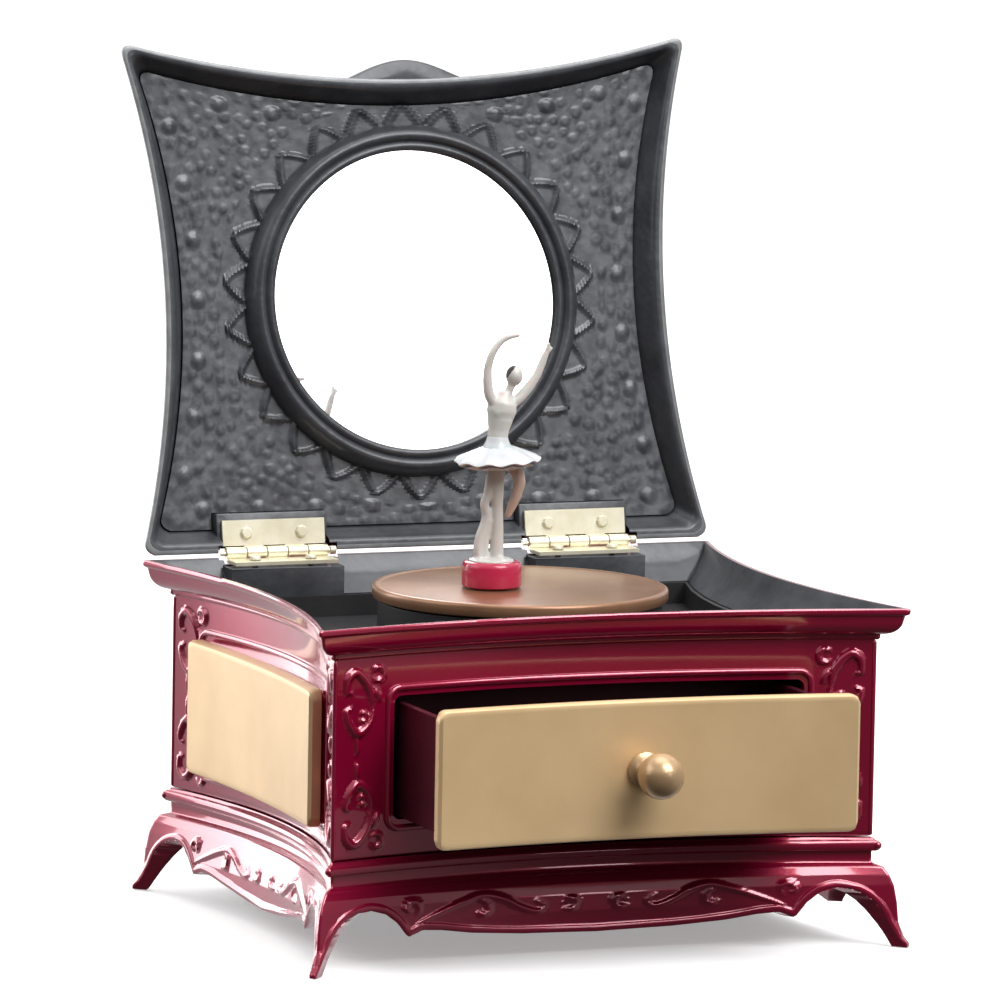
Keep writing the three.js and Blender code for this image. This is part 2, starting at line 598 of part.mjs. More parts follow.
const BED_Z = [PLATE_Z + PLATE_T + GAP, PLATE_Z + PLATE_T + GAP + 2.6];
const BARREL_R = 12;
const BARREL_Z = [BED_Z[1] + 0.5, BED_Z[1] + 8.9];
const CROWN_TEETH = 30;
const CROWN_R = [9.6, 11.8];
const CROWN_H = 1.3;
const AXLE_Z = BARREL_Z[1] + 4.4;
const PINION_TEETH = 10;
const CYLINDER_R = 6.5;
const CYLINDER_X = [15.4, 36.6];
const MODULE = 0.45;
const WHEEL_TEETH = 30;
const IDLER_TEETH = 10;
const IDLER_WHEEL_TEETH = 24;
const FAN_TEETH = 8;
const GEAR_X = [39.6, 41];
const FAN_GEAR_X = [42.4, 43.8];
const PLATE_X = [[13, 14.2], [37.4, 38.6], [46.6, 47.8]];

// A spur gear's outline, a tooth centred on angle 0.
function gearOutline(teeth, tip, root, slim = 0.36) {
  const pitch = (2 * Math.PI) / teeth;
  const points = [];
  for (let i = 0; i < teeth; i++) {
    for (const [r, share] of [[root, -slim * 0.62], [tip, -slim * 0.36], [tip, slim * 0.36], [root, slim * 0.62]]) {
      const a = pitch * (i + share);
      points.push(new THREE.Vector2(r * Math.cos(a), r * Math.sin(a)));
    }
  }
  return points;
}

// A gear about X, from x0 to x1, turned by `phase`.
function spurGear(teeth, x, phase = 0, addendum = 0.85, dedendum = 1.15) {
  const pitchR = (teeth * MODULE) / 2;
  const points = gearOutline(teeth, pitchR + addendum * MODULE, pitchR - dedendum * MODULE);
  return alongX(prism(points, x[1] - x[0]).rotateZ(phase).translate(0, 0, x[0]));
}

// The phase of gear B that puts its gap on gear A's tooth. `angle` is the way from A to B.
const meshPhase = (angle, phaseA, teethA, teethB) =>
  angle + Math.PI - ((2 * Math.PI) / teethB) * (0.5 - (angle - phaseA) / ((2 * Math.PI) / teethA));

// Axes of the train, as offsets from the cylinder's axis, in the gears' own plane (x' is down).
const centre = (a, b) => ((a + b) * MODULE) / 2;
const IDLER_ANGLE = THREE.MathUtils.degToRad(118);
const FAN_ANGLE = THREE.MathUtils.degToRad(160);
const polar = (r, a) => new THREE.Vector2(r * Math.cos(a), r * Math.sin(a));
const IDLER_AT = polar(centre(WHEEL_TEETH, IDLER_TEETH), IDLER_ANGLE);
const FAN_AT = polar(centre(IDLER_WHEEL_TEETH, FAN_TEETH), FAN_ANGLE).add(IDLER_AT);
const IDLER_PHASE = meshPhase(IDLER_ANGLE, 0, WHEEL_TEETH, IDLER_TEETH);
const FAN_PHASE = meshPhase(FAN_ANGLE, IDLER_PHASE, IDLER_WHEEL_TEETH, FAN_TEETH);
const place = (mesh, at) => mesh.position.set(0, at.y, AXLE_Z - at.x);

function bedplate() {
  const slab = block(-16, 49, -12.6, 26, ...BED_Z);
  const riser = block(15, 37, 16.5, 25, BED_Z[1] - 0.1, COMB_Z - GAP);
  const holes = MOVEMENT_SCREWS.map(([x, y]) => rod(1.5, 0, 60, 10, x, y));
  const pilots = COMB_SCREWS.map((x) => rod(1.2, COMB_Z - 5, COMB_Z + 5, 10, x, 21));
  return cut(join(slab, riser), rod(2.9, 0, 40, 16), ...holes, ...pilots);
}

const COMB_Z = AXLE_Z - 0.6;

function springBarrel() {
  const cup = turned([
    [2.9, BARREL_Z[0] + 1], [2.9, BARREL_Z[0]], [BARREL_R, BARREL_Z[0]], [BARREL_R, BARREL_Z[1]], [0, BARREL_Z[1]],
    [0, BARREL_Z[1] - 1.4], [BARREL_R - 1, BARREL_Z[1] - 1.4], [BARREL_R - 1, BARREL_Z[0] + 1], [2.9, BARREL_Z[0] + 1],
  ], 32);
  const boss = rod(3, BARREL_Z[1] - 0.1, BARREL_Z[1] + 1.2, 16);
  const pitch = (2 * Math.PI) / CROWN_TEETH;
  const teeth = [];
  for (let i = 0; i < CROWN_TEETH; i++) {
    const outline = [[-0.36, -0.2], [0.36, -0.2], [0.24, CROWN_H], [-0.24, CROWN_H]];
    const tooth = prism(outline.map(([x, y]) => new THREE.Vector2(x, y)), CROWN_R[1] - CROWN_R[0]);
    tooth.rotateX(Math.PI / 2).rotateZ(Math.PI / 2).translate(CROWN_R[0], 0, BARREL_Z[1]);
    teeth.push(tooth.rotateZ(pitch * (i + 0.5)));
  }
  return join(cup, boss, ...teeth);
}

add(movement, 'movement_bedplate', bedplate(), ZINC);
MOVEMENT_SCREWS.forEach(([x, y], i) => {
  const mesh = add(movement, `movement_screw_${i + 1}`, screw(1.1, 2.4, 4.6), STEEL);
  mesh.position.set(x, y, BED_Z[1] + GAP);
});
add(movement, 'spring_barrel', springBarrel(), { ...BRASS, color: 0xc9a648 });

const ARM_Z = [71.6, 73.4];
const ARM_REACH = Math.hypot(DANCER[0] - ORBIT[0], DANCER[1] - ORBIT[1]);
const ARM_ANGLE = Math.atan2(DANCER[1] - ORBIT[1], DANCER[0] - ORBIT[0]);
const MAGNET_R = 3.5;
add(movement, 'drive_shaft', rod(1.6, BARREL_Z[1] + 1.2 + GAP, ARM_Z[0] - GAP, 12), STEEL);

function magnetArm() {
  const bar = block(-6, ARM_REACH, -1.8, 1.8, ...ARM_Z);
  const hub = rod(3.4, ARM_Z[0], ARM_Z[1] + 1.2, 16);
  const seat = rod(MAGNET_R + 0.9, ARM_Z[0], ARM_Z[1], 20, ARM_REACH, 0);
  return join(bar, hub, seat).rotateZ(ARM_ANGLE);
}

const magnetTop = STAGE_TOP - STAGE_T - 0.7;
add(movement, 'magnet_arm', magnetArm(), { color: 0xe8e8e4, roughness: 0.5, metalness: 0 });
const driveMagnet = rod(MAGNET_R, ARM_Z[1] + GAP, magnetTop, 20, ARM_REACH, 0).rotateZ(ARM_ANGLE);
add(movement, 'drive_magnet', driveMagnet, ZINC);

function musicCylinder() {
  const drum = alongX(rod(CYLINDER_R, ...CYLINDER_X, 24));
  const axle = alongX(rod(1, CROWN_R[0], GEAR_X[1] + 0.4, 12));
  const points = gearOutline(PINION_TEETH, 4.1, 2.8, 0.34);
  const pinion = alongX(prism(points, CROWN_R[1] - CROWN_R[0]).translate(0, 0, CROWN_R[0]));
  return join(axle, drum, pinion, spurGear(WHEEL_TEETH, GEAR_X));
}

const cylinder = add(movement, 'music_cylinder', musicCylinder(), { ...BRASS, color: 0xc9a648 });
cylinder.position.z = AXLE_Z;

// A bearing plate standing on the bedplate, with a clearance hole for each axle.
function bearingPlate(x, y, top, bearings) {
  const plate = block(x[0], x[1], y[0], y[1], BED_Z[1] + GAP, top);
  const holes = bearings.map(([r, at]) => alongX(rod(r, -80, 80, 14)).translate(0, at.y, AXLE_Z - at.x));
  return cut(plate, ...holes);
}

const ORIGIN = new THREE.Vector2(0, 0);
add(movement, 'bearing_plate_inner', bearingPlate(PLATE_X[0], [-7, 7], AXLE_Z + 3.5, [[1.06, ORIGIN]]), ZINC);
const middleBearings = [[1.06, ORIGIN]];
add(movement, 'bearing_plate_middle', bearingPlate(PLATE_X[1], [-7, 7], AXLE_Z + 3.5, middleBearings), ZINC);
const outerBearings = [[0.76, IDLER_AT], [0.66, FAN_AT]];
add(movement, 'bearing_plate_outer', bearingPlate(PLATE_X[2], [-7, 19], AXLE_Z + 14, outerBearings), ZINC);

function idlerWheel() {
  const axle = alongX(rod(0.7, GEAR_X[0] - 0.6, PLATE_X[2][1] - 0.2, 12));
  const pinion = spurGear(IDLER_TEETH, [GEAR_X[0], FAN_GEAR_X[0] + 0.1], IDLER_PHASE);
  return join(axle, pinion, spurGear(IDLER_WHEEL_TEETH, FAN_GEAR_X, IDLER_PHASE));
}

function fanWheel() {
  const axle = alongX(rod(0.6, GEAR_X[0], PLATE_X[2][1] - 0.2, 12));
  const pinion = spurGear(FAN_TEETH, [FAN_GEAR_X[0] - 0.3, FAN_GEAR_X[1] + 0.3], FAN_PHASE);
  const blades = block(FAN_GEAR_X[1] + 0.6, PLATE_X[2][0] - 0.5, -0.3, 0.3, -3, 3);
  return join(axle, pinion, blades);
}

place(add(movement, 'idler_wheel', idlerWheel(), BRASS), IDLER_AT);
place(add(movement, 'governor_fan', fanWheel(), STEEL), FAN_AT);

function comb() {
  const teeth = 18;
  const tipY = CYLINDER_R + 0.5;
  const wide = (CYLINDER_X[1] - CYLINDER_X[0]) / teeth;
  const plate = block(15, 37, 15, 25, COMB_Z, COMB_Z + 1.2);
  const tines = [];
  for (let i = 0; i < teeth; i++) {
    const x = CYLINDER_X[0] + wide * i;
    tines.push(block(x + 0.12, x + wide - 0.12, tipY, 15.2, COMB_Z + 0.2, COMB_Z + 1));
  }
  const holes = COMB_SCREWS.map((x) => rod(1.35, 0, 80, 12, x, 21));
  return cut(join(plate, ...tines), ...holes);
}

add(movement, 'comb', comb(), STEEL);
COMB_SCREWS.forEach((x, i) => {
  add(movement, `comb_screw_${i + 1}`, screw(0.9, 2.2, 4.4), STEEL).position.set(x, 21, COMB_Z + 1.2 + GAP);
});

// Winding key and its square-ended arbor, below the bottom plate.
const KEY_Z = [6.4, 18.6];
add(movement, 'winding_arbor', rod(2.2, KEY_Z[1] - 4, BARREL_Z[0] + 6, 16), STEEL);

function windingKey() {
  const hub = turned([
    [0, KEY_Z[0] + 4], [3.2, KEY_Z[0] + 4], [3.8, KEY_Z[1] - 4], [3.8, KEY_Z[1]], [2.5, KEY_Z[1]], [2.5, KEY_Z[1] - 4.3],
    [0, KEY_Z[1] - 4.3],
  ], 20);
  const bow = prism(roundedRect(10.5, 3.8, 3.6), 1.8).rotateX(Math.PI / 2).translate(0, 0.9, KEY_Z[0] + 3.8);
  return join(hub, bow);
}

add(movement, 'winding_key', windingKey(), BRASS);

// ---------------------------------------------------------------- dancer

const dancer = new THREE.Group();
dancer.position.set(DANCER[0], DANCER[1], STAGE_TOP + GAP);
box.add(dancer);

const point = (x, z, y = 0) => new THREE.Vector3(x, y, z);

// A tapered limb between two points, with a round far end.
function limb(from, to, r0, r1, sides = 5) {
  const axis = to.clone().sub(from);
  const cone = new THREE.CylinderGeometry(r1, r0, axis.length(), sides);
  cone.applyQuaternion(new THREE.Quaternion().setFromUnitVectors(new THREE.Vector3(0, 1, 0), axis.normalize()));
  cone.translate((from.x + to.x) / 2, (from.y + to.y) / 2, (from.z + to.z) / 2);
  const ball = (at, r) => new THREE.SphereGeometry(r * 1.06, sides, 3).translate(at.x, at.y, at.z);
  return join(cone, ball(to, r1));
}

const HIP = point(1.2, 30);
const WAIST = point(1.6, 35);
const CHEST = point(2, 41);
const NECK = point(3.4, 46);
const HEAD = point(4.4, 50.4);
const HAND = point(3.4, 60.6);

function dancerFigure() {
  const foot = point(-0.4, DANCER_BASE_H + 0.2);
  const knee = point(0.4, 17.5);
  const ribbon = [point(-2.2, 9), point(1.8, 13.5), point(-1.4, 19)];
  const parts = [
    limb(foot, knee, 1.5, 1.4), limb(knee, HIP, 1.4, 2.2), limb(HIP, WAIST, 2.4, 1.9), limb(WAIST, CHEST, 1.9, 2.7),
    limb(CHEST, NECK, 2.4, 1.1), limb(NECK, HEAD, 1.1, 1.3),
    new THREE.SphereGeometry(2.7, 8, 6).scale(0.9, 0.95, 1.1).translate(HEAD.x, 0, HEAD.z),
    limb(HIP, point(4.6, 24, -1.5), 2, 1.6), limb(point(4.6, 24, -1.5), point(3.4, 16.5, 0.5), 1.5, 0.9),
    limb(point(0.4, 43.5), point(-1.4, 54), 1.2, 0.95), limb(point(-1.4, 54), HAND, 0.95, 0.8),
    limb(point(4.2, 43.5), point(9.8, 49), 1.2, 0.95), limb(point(9.8, 49), point(13, 57.5), 0.95, 0.8),
  ];
  for (let i = 1; i < ribbon.length; i++) parts.push(limb(ribbon[i - 1], ribbon[i], 1.2, 1.2));
  parts.push(limb(point(-0.4, DANCER_BASE_H + 0.2), ribbon[0], 1.2, 1.2));
  const skirtSeat = turned([[0, TUTU_Z - 1], [6, TUTU_Z - 1], [6, TUTU_Z + 4.4], [0, TUTU_Z + 4.4]], 12).translate(1, 0, 0);
  return cut(join(...parts), cut(skirtSeat, rod(1.7, 0, 80, 8, 1.2, 0)));
}

const TUTU_Z = 28;

function dancerTutu() {
  return turned([
    [2, TUTU_Z + 3.8], [2, TUTU_Z - 0.2], [5.6, TUTU_Z - 0.6], [9.4, TUTU_Z + 0.2], [9.6, TUTU_Z + 1.4],
    [5.8, TUTU_Z + 3], [3.4, TUTU_Z + 4.1], [2, TUTU_Z + 3.8],
  ], 24).translate(1.2, 0, 0);
}

function dancerBase() {
  const puck = turned([
    [4.4, 0], [DANCER_BASE_R - 0.3, 0], [DANCER_BASE_R, 0.4], [DANCER_BASE_R - 0.2, DANCER_BASE_H - 0.5],
    [DANCER_BASE_R - 0.7, DANCER_BASE_H], [0, DANCER_BASE_H], [0, 3.2], [4.4, 3.2], [4.4, 0],
  ], 28);
  return cut(puck, rod(2.8, 4, 9, 12, -0.4, 0));
}

add(dancer, 'dancer_base', dancerBase(), { color: 0xc4204a, roughness: 0.35, metalness: 0 });
add(dancer, 'dancer_magnet', rod(4, 0.2, 2.9, 20), ZINC);
add(dancer, 'dancer_figure', dancerFigure(), { color: 0xf2ece4, roughness: 0.5, metalness: 0 });
add(dancer, 'dancer_tutu', dancerTutu(), { color: 0xe4e9f0, roughness: 0.5, metalness: 0 });

export default box;
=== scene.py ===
"""The looks of the ballerina jewellery box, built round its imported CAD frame.

Lengths in the shape code are millimetres in the row frame and become metres in make().
"""

import json
import math
import random

import bmesh
import bpy
import numpy as np
from mathutils import Matrix, Vector

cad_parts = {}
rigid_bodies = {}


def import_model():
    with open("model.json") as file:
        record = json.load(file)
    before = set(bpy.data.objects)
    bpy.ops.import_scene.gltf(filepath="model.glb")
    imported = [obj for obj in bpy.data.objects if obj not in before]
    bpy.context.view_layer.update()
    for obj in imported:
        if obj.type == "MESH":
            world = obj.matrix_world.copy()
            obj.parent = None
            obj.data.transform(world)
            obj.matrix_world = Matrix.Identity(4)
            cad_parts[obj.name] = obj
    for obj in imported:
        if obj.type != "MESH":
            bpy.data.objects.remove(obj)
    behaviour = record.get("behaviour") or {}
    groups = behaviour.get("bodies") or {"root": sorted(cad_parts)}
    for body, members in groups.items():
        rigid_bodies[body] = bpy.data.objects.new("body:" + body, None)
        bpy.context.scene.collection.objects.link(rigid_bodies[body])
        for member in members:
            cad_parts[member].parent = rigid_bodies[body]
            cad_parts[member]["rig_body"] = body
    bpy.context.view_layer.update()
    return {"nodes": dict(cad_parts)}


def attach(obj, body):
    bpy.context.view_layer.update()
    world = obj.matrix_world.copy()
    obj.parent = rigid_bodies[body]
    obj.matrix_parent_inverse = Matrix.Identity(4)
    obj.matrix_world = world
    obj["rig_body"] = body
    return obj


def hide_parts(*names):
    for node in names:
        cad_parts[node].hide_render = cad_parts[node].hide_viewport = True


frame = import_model()
NODES = frame["nodes"]
MM = 0.001
SEED = 11
rng = random.Random(SEED)

# ---------- sizes shared with the CAD

WALL_X, WALL_Y = 68.6, 56.3
BOW_FRONT, BOW_SIDE = 10.0, 9.0
WALL = 2.8
SKIRT_TOP = 25.7
BODY_BOTTOM = 26.0
RIM_Z = 81.0
RIM_OUT = 6.2
LID_X, LID_DEPTH, LID_REST = 74.7, 125.4, 100.5
HINGE_Y, HINGE_Z = 61.6, 82.0
LID_RIM = -0.5
LINER = 5.5
LID_MIDDLE = -LID_DEPTH / 2 - 0.05
MIRROR_R, MIRROR_Y = 37.0, -61.0
DRAWER_OUT = 26.5
FRONT_X, FRONT_Z, FRONT_SAG = 52.7, (32.1, 64.6), 4.4
FRONT_SHUT_Y = -57.5
PANEL_T, PANEL_SAG = 3.3, 2.2
PANEL_Y, PANEL_Z, PANEL_X = 43.0, (31.6, 64.2), 69.6
OPENING_X, OPENING_Z = 52.3, (34.4, 63.6)
STAGE_R, STAGE_Y, STAGE_TOP, STAGE_T = 35.6, 0.8, 80.7, 3.4
DANCER = (-8.3, -1.4, 81.0)
HINGE_XS = (-40.1, 39.3)
LEAF_Z = -2.1
KNOB_Z = (FRONT_Z[0] + FRONT_Z[1]) / 2
KNOB_R = 5.4
FACE_Y = FRONT_SHUT_Y + FRONT_SAG - DRAWER_OUT

# ---------- camera

CAMERA_AT = (-789.63, -1985.19, 378.41)
YAW, PITCH, ROLL = 0.376, -0.129, 0.018
LENS = 323.9


def make_camera():
    data = bpy.data.cameras.new("camera")
    data.lens, data.sensor_width = LENS, 36.0
    data.clip_start, data.clip_end = 0.05, 60.0
    cam = bpy.data.objects.new("camera", data)
    forward = Vector((math.sin(YAW) * math.cos(PITCH), math.cos(YAW) * math.cos(PITCH), math.sin(PITCH)))
    right = Vector((math.cos(YAW), -math.sin(YAW), 0))
    up = right.cross(forward)
    across = math.cos(ROLL) * right + math.sin(ROLL) * up
    above = -math.sin(ROLL) * right + math.cos(ROLL) * up
    turn = Matrix((across, above, -forward)).transposed().to_4x4()
    cam.matrix_world = Matrix.Translation(Vector(CAMERA_AT) * MM) @ turn
    bpy.context.scene.collection.objects.link(cam)
    bpy.context.scene.camera = cam


# ---------- lights, world, floor


def area_light(name, at, aim, size, power, colour=(1, 1, 1)):
    data = bpy.data.lights.new(name, "AREA")
    data.shape, data.size, data.energy, data.color = "SQUARE", size, power, colour
    lamp = bpy.data.objects.new(name, data)
    lamp.location = at
    lamp.rotation_mode = "QUATERNION"
    lamp.rotation_quaternion = (Vector(aim) - Vector(at)).to_track_quat("-Z", "Y")
    lamp.visible_camera = False
    bpy.context.scene.collection.objects.link(lamp)


def make_world():
    """A pale studio: bright above, behind and to the side, darker low down in front."""
    world = bpy.data.worlds.new("studio")
    bpy.context.scene.world = world
    world.use_nodes = True
    nodes, links = world.node_tree.nodes, world.node_tree.links
    nodes.clear()
    coord = nodes.new("ShaderNodeTexCoord")
    split = nodes.new("ShaderNodeSeparateXYZ")
    links.new(coord.outputs["Generated"], split.inputs[0])
    total = None
    glow = (("Z", 0.22, 0.62, 0.75), ("X", 0.35, 0.95, 0.3), ("Y", 0.05, 0.6, 0.75))
    for axis, low, high, share in glow:
        ramp = nodes.new("ShaderNodeMapRange")
        ramp.interpolation_type = "SMOOTHSTEP"
        set_inputs(ramp, From_Min=low, From_Max=high, To_Max=share)
        links.new(split.outputs[axis], ramp.inputs["Value"])
        if total is None:
            total = ramp.outputs[0]
            continue
        summed = nodes.new("ShaderNodeMath")
        links.new(total, summed.inputs[0])
        links.new(ramp.outputs[0], summed.inputs[1])
        total = summed.outputs[0]
    lifted = nodes.new("ShaderNodeMath")
    lifted.inputs[1].default_value = 0.07
    links.new(total, lifted.inputs[0])
    background = nodes.new("ShaderNodeBackground")
    links.new(lifted.outputs[0], background.inputs["Strength"])
    out = nodes.new("ShaderNodeOutputWorld")
    links.new(background.outputs[0], out.inputs[0])


def make_floor():
    mesh = bpy.data.meshes.new("floor")
    reach = 14.0
    corners = [(-reach, -reach, 0), (reach, -reach, 0), (reach, reach, 0), (-reach, reach, 0)]
    mesh.from_pydata(corners, [], [(0, 1, 2, 3)])
    floor = bpy.data.objects.new("floor", mesh)
    floor.location.z = -0.0002
    bpy.context.scene.collection.objects.link(floor)
    floor.visible_glossy = floor.visible_diffuse = False
    paper = surface("floor_white", (0.93, 0.93, 0.93), (0.9, 0.9, 0.9), roughness=0.9, spread=0.05, grain=4)
    shader = paper.node_tree.nodes["Principled BSDF"]
    set_inputs(shader, Emission_Color=(1, 1, 1, 1), Emission_Strength=0.32)
    mesh.materials.append(paper)


# ---------- materials


def set_inputs(node, **values):
    """Fills a node's inputs; an underscore stands for a space in their names."""
    for name, value in values.items():
        node.inputs[name.replace("_", " ")].default_value = value


def surface(
    name, colour, second, metallic=0.0, roughness=0.5, spread=0.08, grain=60.0, fine=900.0, bump=0.0,
    bump_scale=700.0, coat=0.0, coat_roughness=0.04, pits=None, subsurface=0.0,
):
    """A painted, moulded or metal surface: two tones mixed by noise, uneven roughness, fine bump."""
    mat = bpy.data.materials.new(name)
    mat.use_nodes = True
    nodes, links = mat.node_tree.nodes, mat.node_tree.links
    shader = nodes["Principled BSDF"]
    set_inputs(shader, Metallic=metallic, IOR=1.46, Coat_Weight=coat, Coat_Roughness=coat_roughness)
    set_inputs(shader, Subsurface_Weight=subsurface, Subsurface_Scale=0.002)
    coord = nodes.new("ShaderNodeTexCoord")

    def noise(scale, detail=3.0):
        tex = nodes.new("ShaderNodeTexNoise")
        set_inputs(tex, Scale=scale, Detail=detail)
        links.new(coord.outputs["Object"], tex.inputs["Vector"])
        return tex.outputs["Fac"]

    mix = nodes.new("ShaderNodeMix")
    mix.data_type = "RGBA"
    mix.inputs[6].default_value = (*colour, 1)
    mix.inputs[7].default_value = (*second, 1)
    tones = nodes.new("ShaderNodeMapRange")
    set_inputs(tones, From_Min=0.35, From_Max=0.65)
    links.new(noise(grain), tones.inputs["Value"])
    links.new(tones.outputs[0], mix.inputs[0])
    links.new(mix.outputs[2], shader.inputs["Base Color"])
    rough = nodes.new("ShaderNodeMapRange")
    set_inputs(rough, To_Min=max(roughness - spread, 0.0), To_Max=roughness + spread)
    links.new(noise(fine), rough.inputs["Value"])
    links.new(rough.outputs[0], shader.inputs["Roughness"])
    if bump:
        lift = nodes.new("ShaderNodeBump")
        set_inputs(lift, Strength=bump, Distance=0.0002)
        height = noise(bump_scale, 2.0)
        if pits:
            cells = nodes.new("ShaderNodeTexVoronoi")
            set_inputs(cells, Scale=pits)
            links.new(coord.outputs["Object"], cells.inputs["Vector"])
            height = cells.outputs["Distance"]
        links.new(height, lift.inputs["Height"])
        links.new(lift.outputs[0], shader.inputs["Normal"])
    return mat


def make_materials():
    m = {}
    m["burgundy_gloss"] = surface(
        "burgundy_lacquer", (0.42, 0.004, 0.054), (0.33, 0.002, 0.038), metallic=0.4, roughness=0.24,
        spread=0.03, grain=14, fine=1500, coat=1.0, coat_roughness=0.06,
    )
    set_inputs(m["burgundy_gloss"].node_tree.nodes["Principled BSDF"], Coat_IOR=1.75)
    m["gold_satin"] = surface(
        "gold_paint", (0.88, 0.62, 0.34), (0.8, 0.55, 0.29), metallic=0.35, roughness=0.42,
        grain=45, fine=3500, bump=0.12, bump_scale=2600, coat=0.25, coat_roughness=0.25,
    )
    m["bronze_satin"] = surface(
        "bronze_paint", (0.36, 0.185, 0.1), (0.28, 0.14, 0.075), metallic=0.45, roughness=0.36,
        grain=70, fine=3000, bump=0.12, bump_scale=2200, coat=0.3, coat_roughness=0.2,
    )
    m["knob_satin"] = surface(
        "knob_paint", (0.6, 0.4, 0.22), (0.5, 0.32, 0.17), metallic=0.5, roughness=0.3, spread=0.07,
        grain=90, fine=3000, bump=0.08, bump_scale=2200, coat=0.5, coat_roughness=0.12,
    )
    m["graphite"] = surface(
        "graphite_plastic", (0.07, 0.073, 0.082), (0.045, 0.047, 0.054), metallic=0.15, roughness=0.38,
        grain=110, fine=1800, bump=0.35, bump_scale=900, pits=520, coat=0.3, coat_roughness=0.15,
    )
    m["graphite_floor"] = surface(
        "graphite_moulding", (0.115, 0.12, 0.132), (0.05, 0.052, 0.06), metallic=0.15, roughness=0.36,
        spread=0.1, grain=260, fine=900, bump=0.4, pits=430, coat=0.3, coat_roughness=0.15,
    )
    # Painted highlight: the same graphite plastic in a lighter grey, for the edge of the lid's rim.
    m["graphite_edge"] = surface(
        "graphite_painted_rim_highlight", (0.27, 0.28, 0.29), (0.19, 0.195, 0.205), metallic=0.15, roughness=0.34,
        grain=200, fine=1800, bump=0.1, coat=0.4, coat_roughness=0.15,
    )
    m["lining_dark"] = surface(
        "lining_plastic", (0.03, 0.028, 0.03), (0.02, 0.019, 0.021), roughness=0.5, spread=0.1, grain=80,
        fine=1800, bump=0.25, bump_scale=1500,
    )
    m["tub_burgundy"] = surface(
        "tub_plastic", (0.075, 0.008, 0.018), (0.05, 0.005, 0.012), roughness=0.4, grain=60,
        fine=1600, bump=0.15, bump_scale=1500, coat=0.2, coat_roughness=0.2,
    )
    m["mirror_glass"] = surface(
        "mirror_silver", (0.93, 0.94, 0.95), (0.91, 0.92, 0.935), metallic=1.0, roughness=0.03, spread=0.01,
        grain=20, fine=400,
    )
    m["pale_brass"] = surface(
        "pale_brass_plate", (0.9, 0.85, 0.68), (0.82, 0.76, 0.57), metallic=0.45, roughness=0.36,
        grain=220, fine=2500, bump=0.12, bump_scale=1800,
    )
    m["movement_brass"] = surface(
        "movement_brass", (0.7, 0.5, 0.2), (0.58, 0.4, 0.15), metallic=1.0, roughness=0.3,
        grain=150, fine=2500, bump=0.1,
    )
    m["zinc"] = surface(
        "zinc_casting", (0.42, 0.43, 0.44), (0.33, 0.34, 0.35), metallic=0.9, roughness=0.45, spread=0.1,
        grain=160, fine=2200, bump=0.2, bump_scale=1800,
    )
    m["steel"] = surface(
        "plated_steel", (0.6, 0.6, 0.61), (0.5, 0.5, 0.52), metallic=1.0, roughness=0.28,
        grain=200, fine=2600, bump=0.08,
    )
    m["white_nylon"] = surface(
        "white_nylon", (0.82, 0.82, 0.78), (0.76, 0.76, 0.71), roughness=0.45, spread=0.06, grain=90,
        fine=1500, bump=0.1, subsurface=0.2,
    )
    m["doll_ivory"] = surface(
        "doll_skin", (0.69, 0.665, 0.625), (0.64, 0.61, 0.57), roughness=0.34, spread=0.06, grain=110,
        fine=2500, bump=0.06, subsurface=0.25, coat=0.3, coat_roughness=0.15,
    )
    m["blush"] = surface(
        "doll_blush", (0.66, 0.52, 0.44), (0.62, 0.46, 0.38), roughness=0.34, spread=0.06, grain=260,
        fine=2500, bump=0.06, subsurface=0.2, coat=0.3, coat_roughness=0.15,
    )
    m["tutu_white"] = surface(
        "tutu_pearl", (0.66, 0.675, 0.69), (0.6, 0.615, 0.635), roughness=0.36, grain=320,
        fine=2200, bump=0.15, bump_scale=1600, coat=0.35, coat_roughness=0.15, subsurface=0.2,
    )
    m["base_red"] = surface(
        "base_plastic", (0.58, 0.028, 0.085), (0.5, 0.02, 0.068), roughness=0.26, spread=0.04, grain=60,
        fine=1500, bump=0.05, coat=0.6, coat_roughness=0.06,
    )
    m["ferrite"] = surface(
        "ferrite_magnet", (0.07, 0.07, 0.075), (0.045, 0.045, 0.05), metallic=0.4, roughness=0.5, spread=0.1,
        grain=200, fine=2200, bump=0.25, bump_scale=2000,
    )
    m["hair"] = surface(
        "doll_hair", (0.06, 0.05, 0.045), (0.035, 0.03, 0.03), roughness=0.4, spread=0.06, grain=400, fine=2500,
        bump=0.3, bump_scale=2500,
    )
    return m


# ---------- mesh making

SHARP = math.radians(38)


def dress(obj, angle=SHARP):
    """Faces turned outwards, smooth shading with the real edges kept."""
    bm = bmesh.new()
    bm.from_mesh(obj.data)
    bmesh.ops.recalc_face_normals(bm, faces=bm.faces)
    for face in bm.faces:
        face.smooth = True
    for edge in bm.edges:
        edge.smooth = len(edge.link_faces) == 2 and edge.calc_face_angle() < angle
    bm.to_mesh(obj.data)
    bm.free()


def declare(obj, body, slot, *nodes):
    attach(obj, body)
    if nodes:
        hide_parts(*nodes)


def make(name, parts, look):
    """An object from (points in mm, faces) parts."""
    points, faces, start = [], [], 0
    for verts, loops in parts:
        points.append(np.asarray(verts, float).reshape(-1, 3))
        faces += [tuple(int(i) + start for i in loop) for loop in loops]
        start += len(points[-1])
    mesh = bpy.data.meshes.new(name)
    mesh.from_pydata((np.concatenate(points) * MM).tolist(), [], faces)
    obj = bpy.data.objects.new(name, mesh)
    bpy.context.scene.collection.objects.link(obj)
    mesh.materials.append(MATS[look])
    return obj


def piece(name, parts, look, body, *nodes, slot=None, angle=SHARP):
    """Makes one piece, shades it and says what it rides on and replaces."""
    obj = make(name, parts, look)
    dress(obj, angle)
    declare(obj, body, slot or look, *nodes)


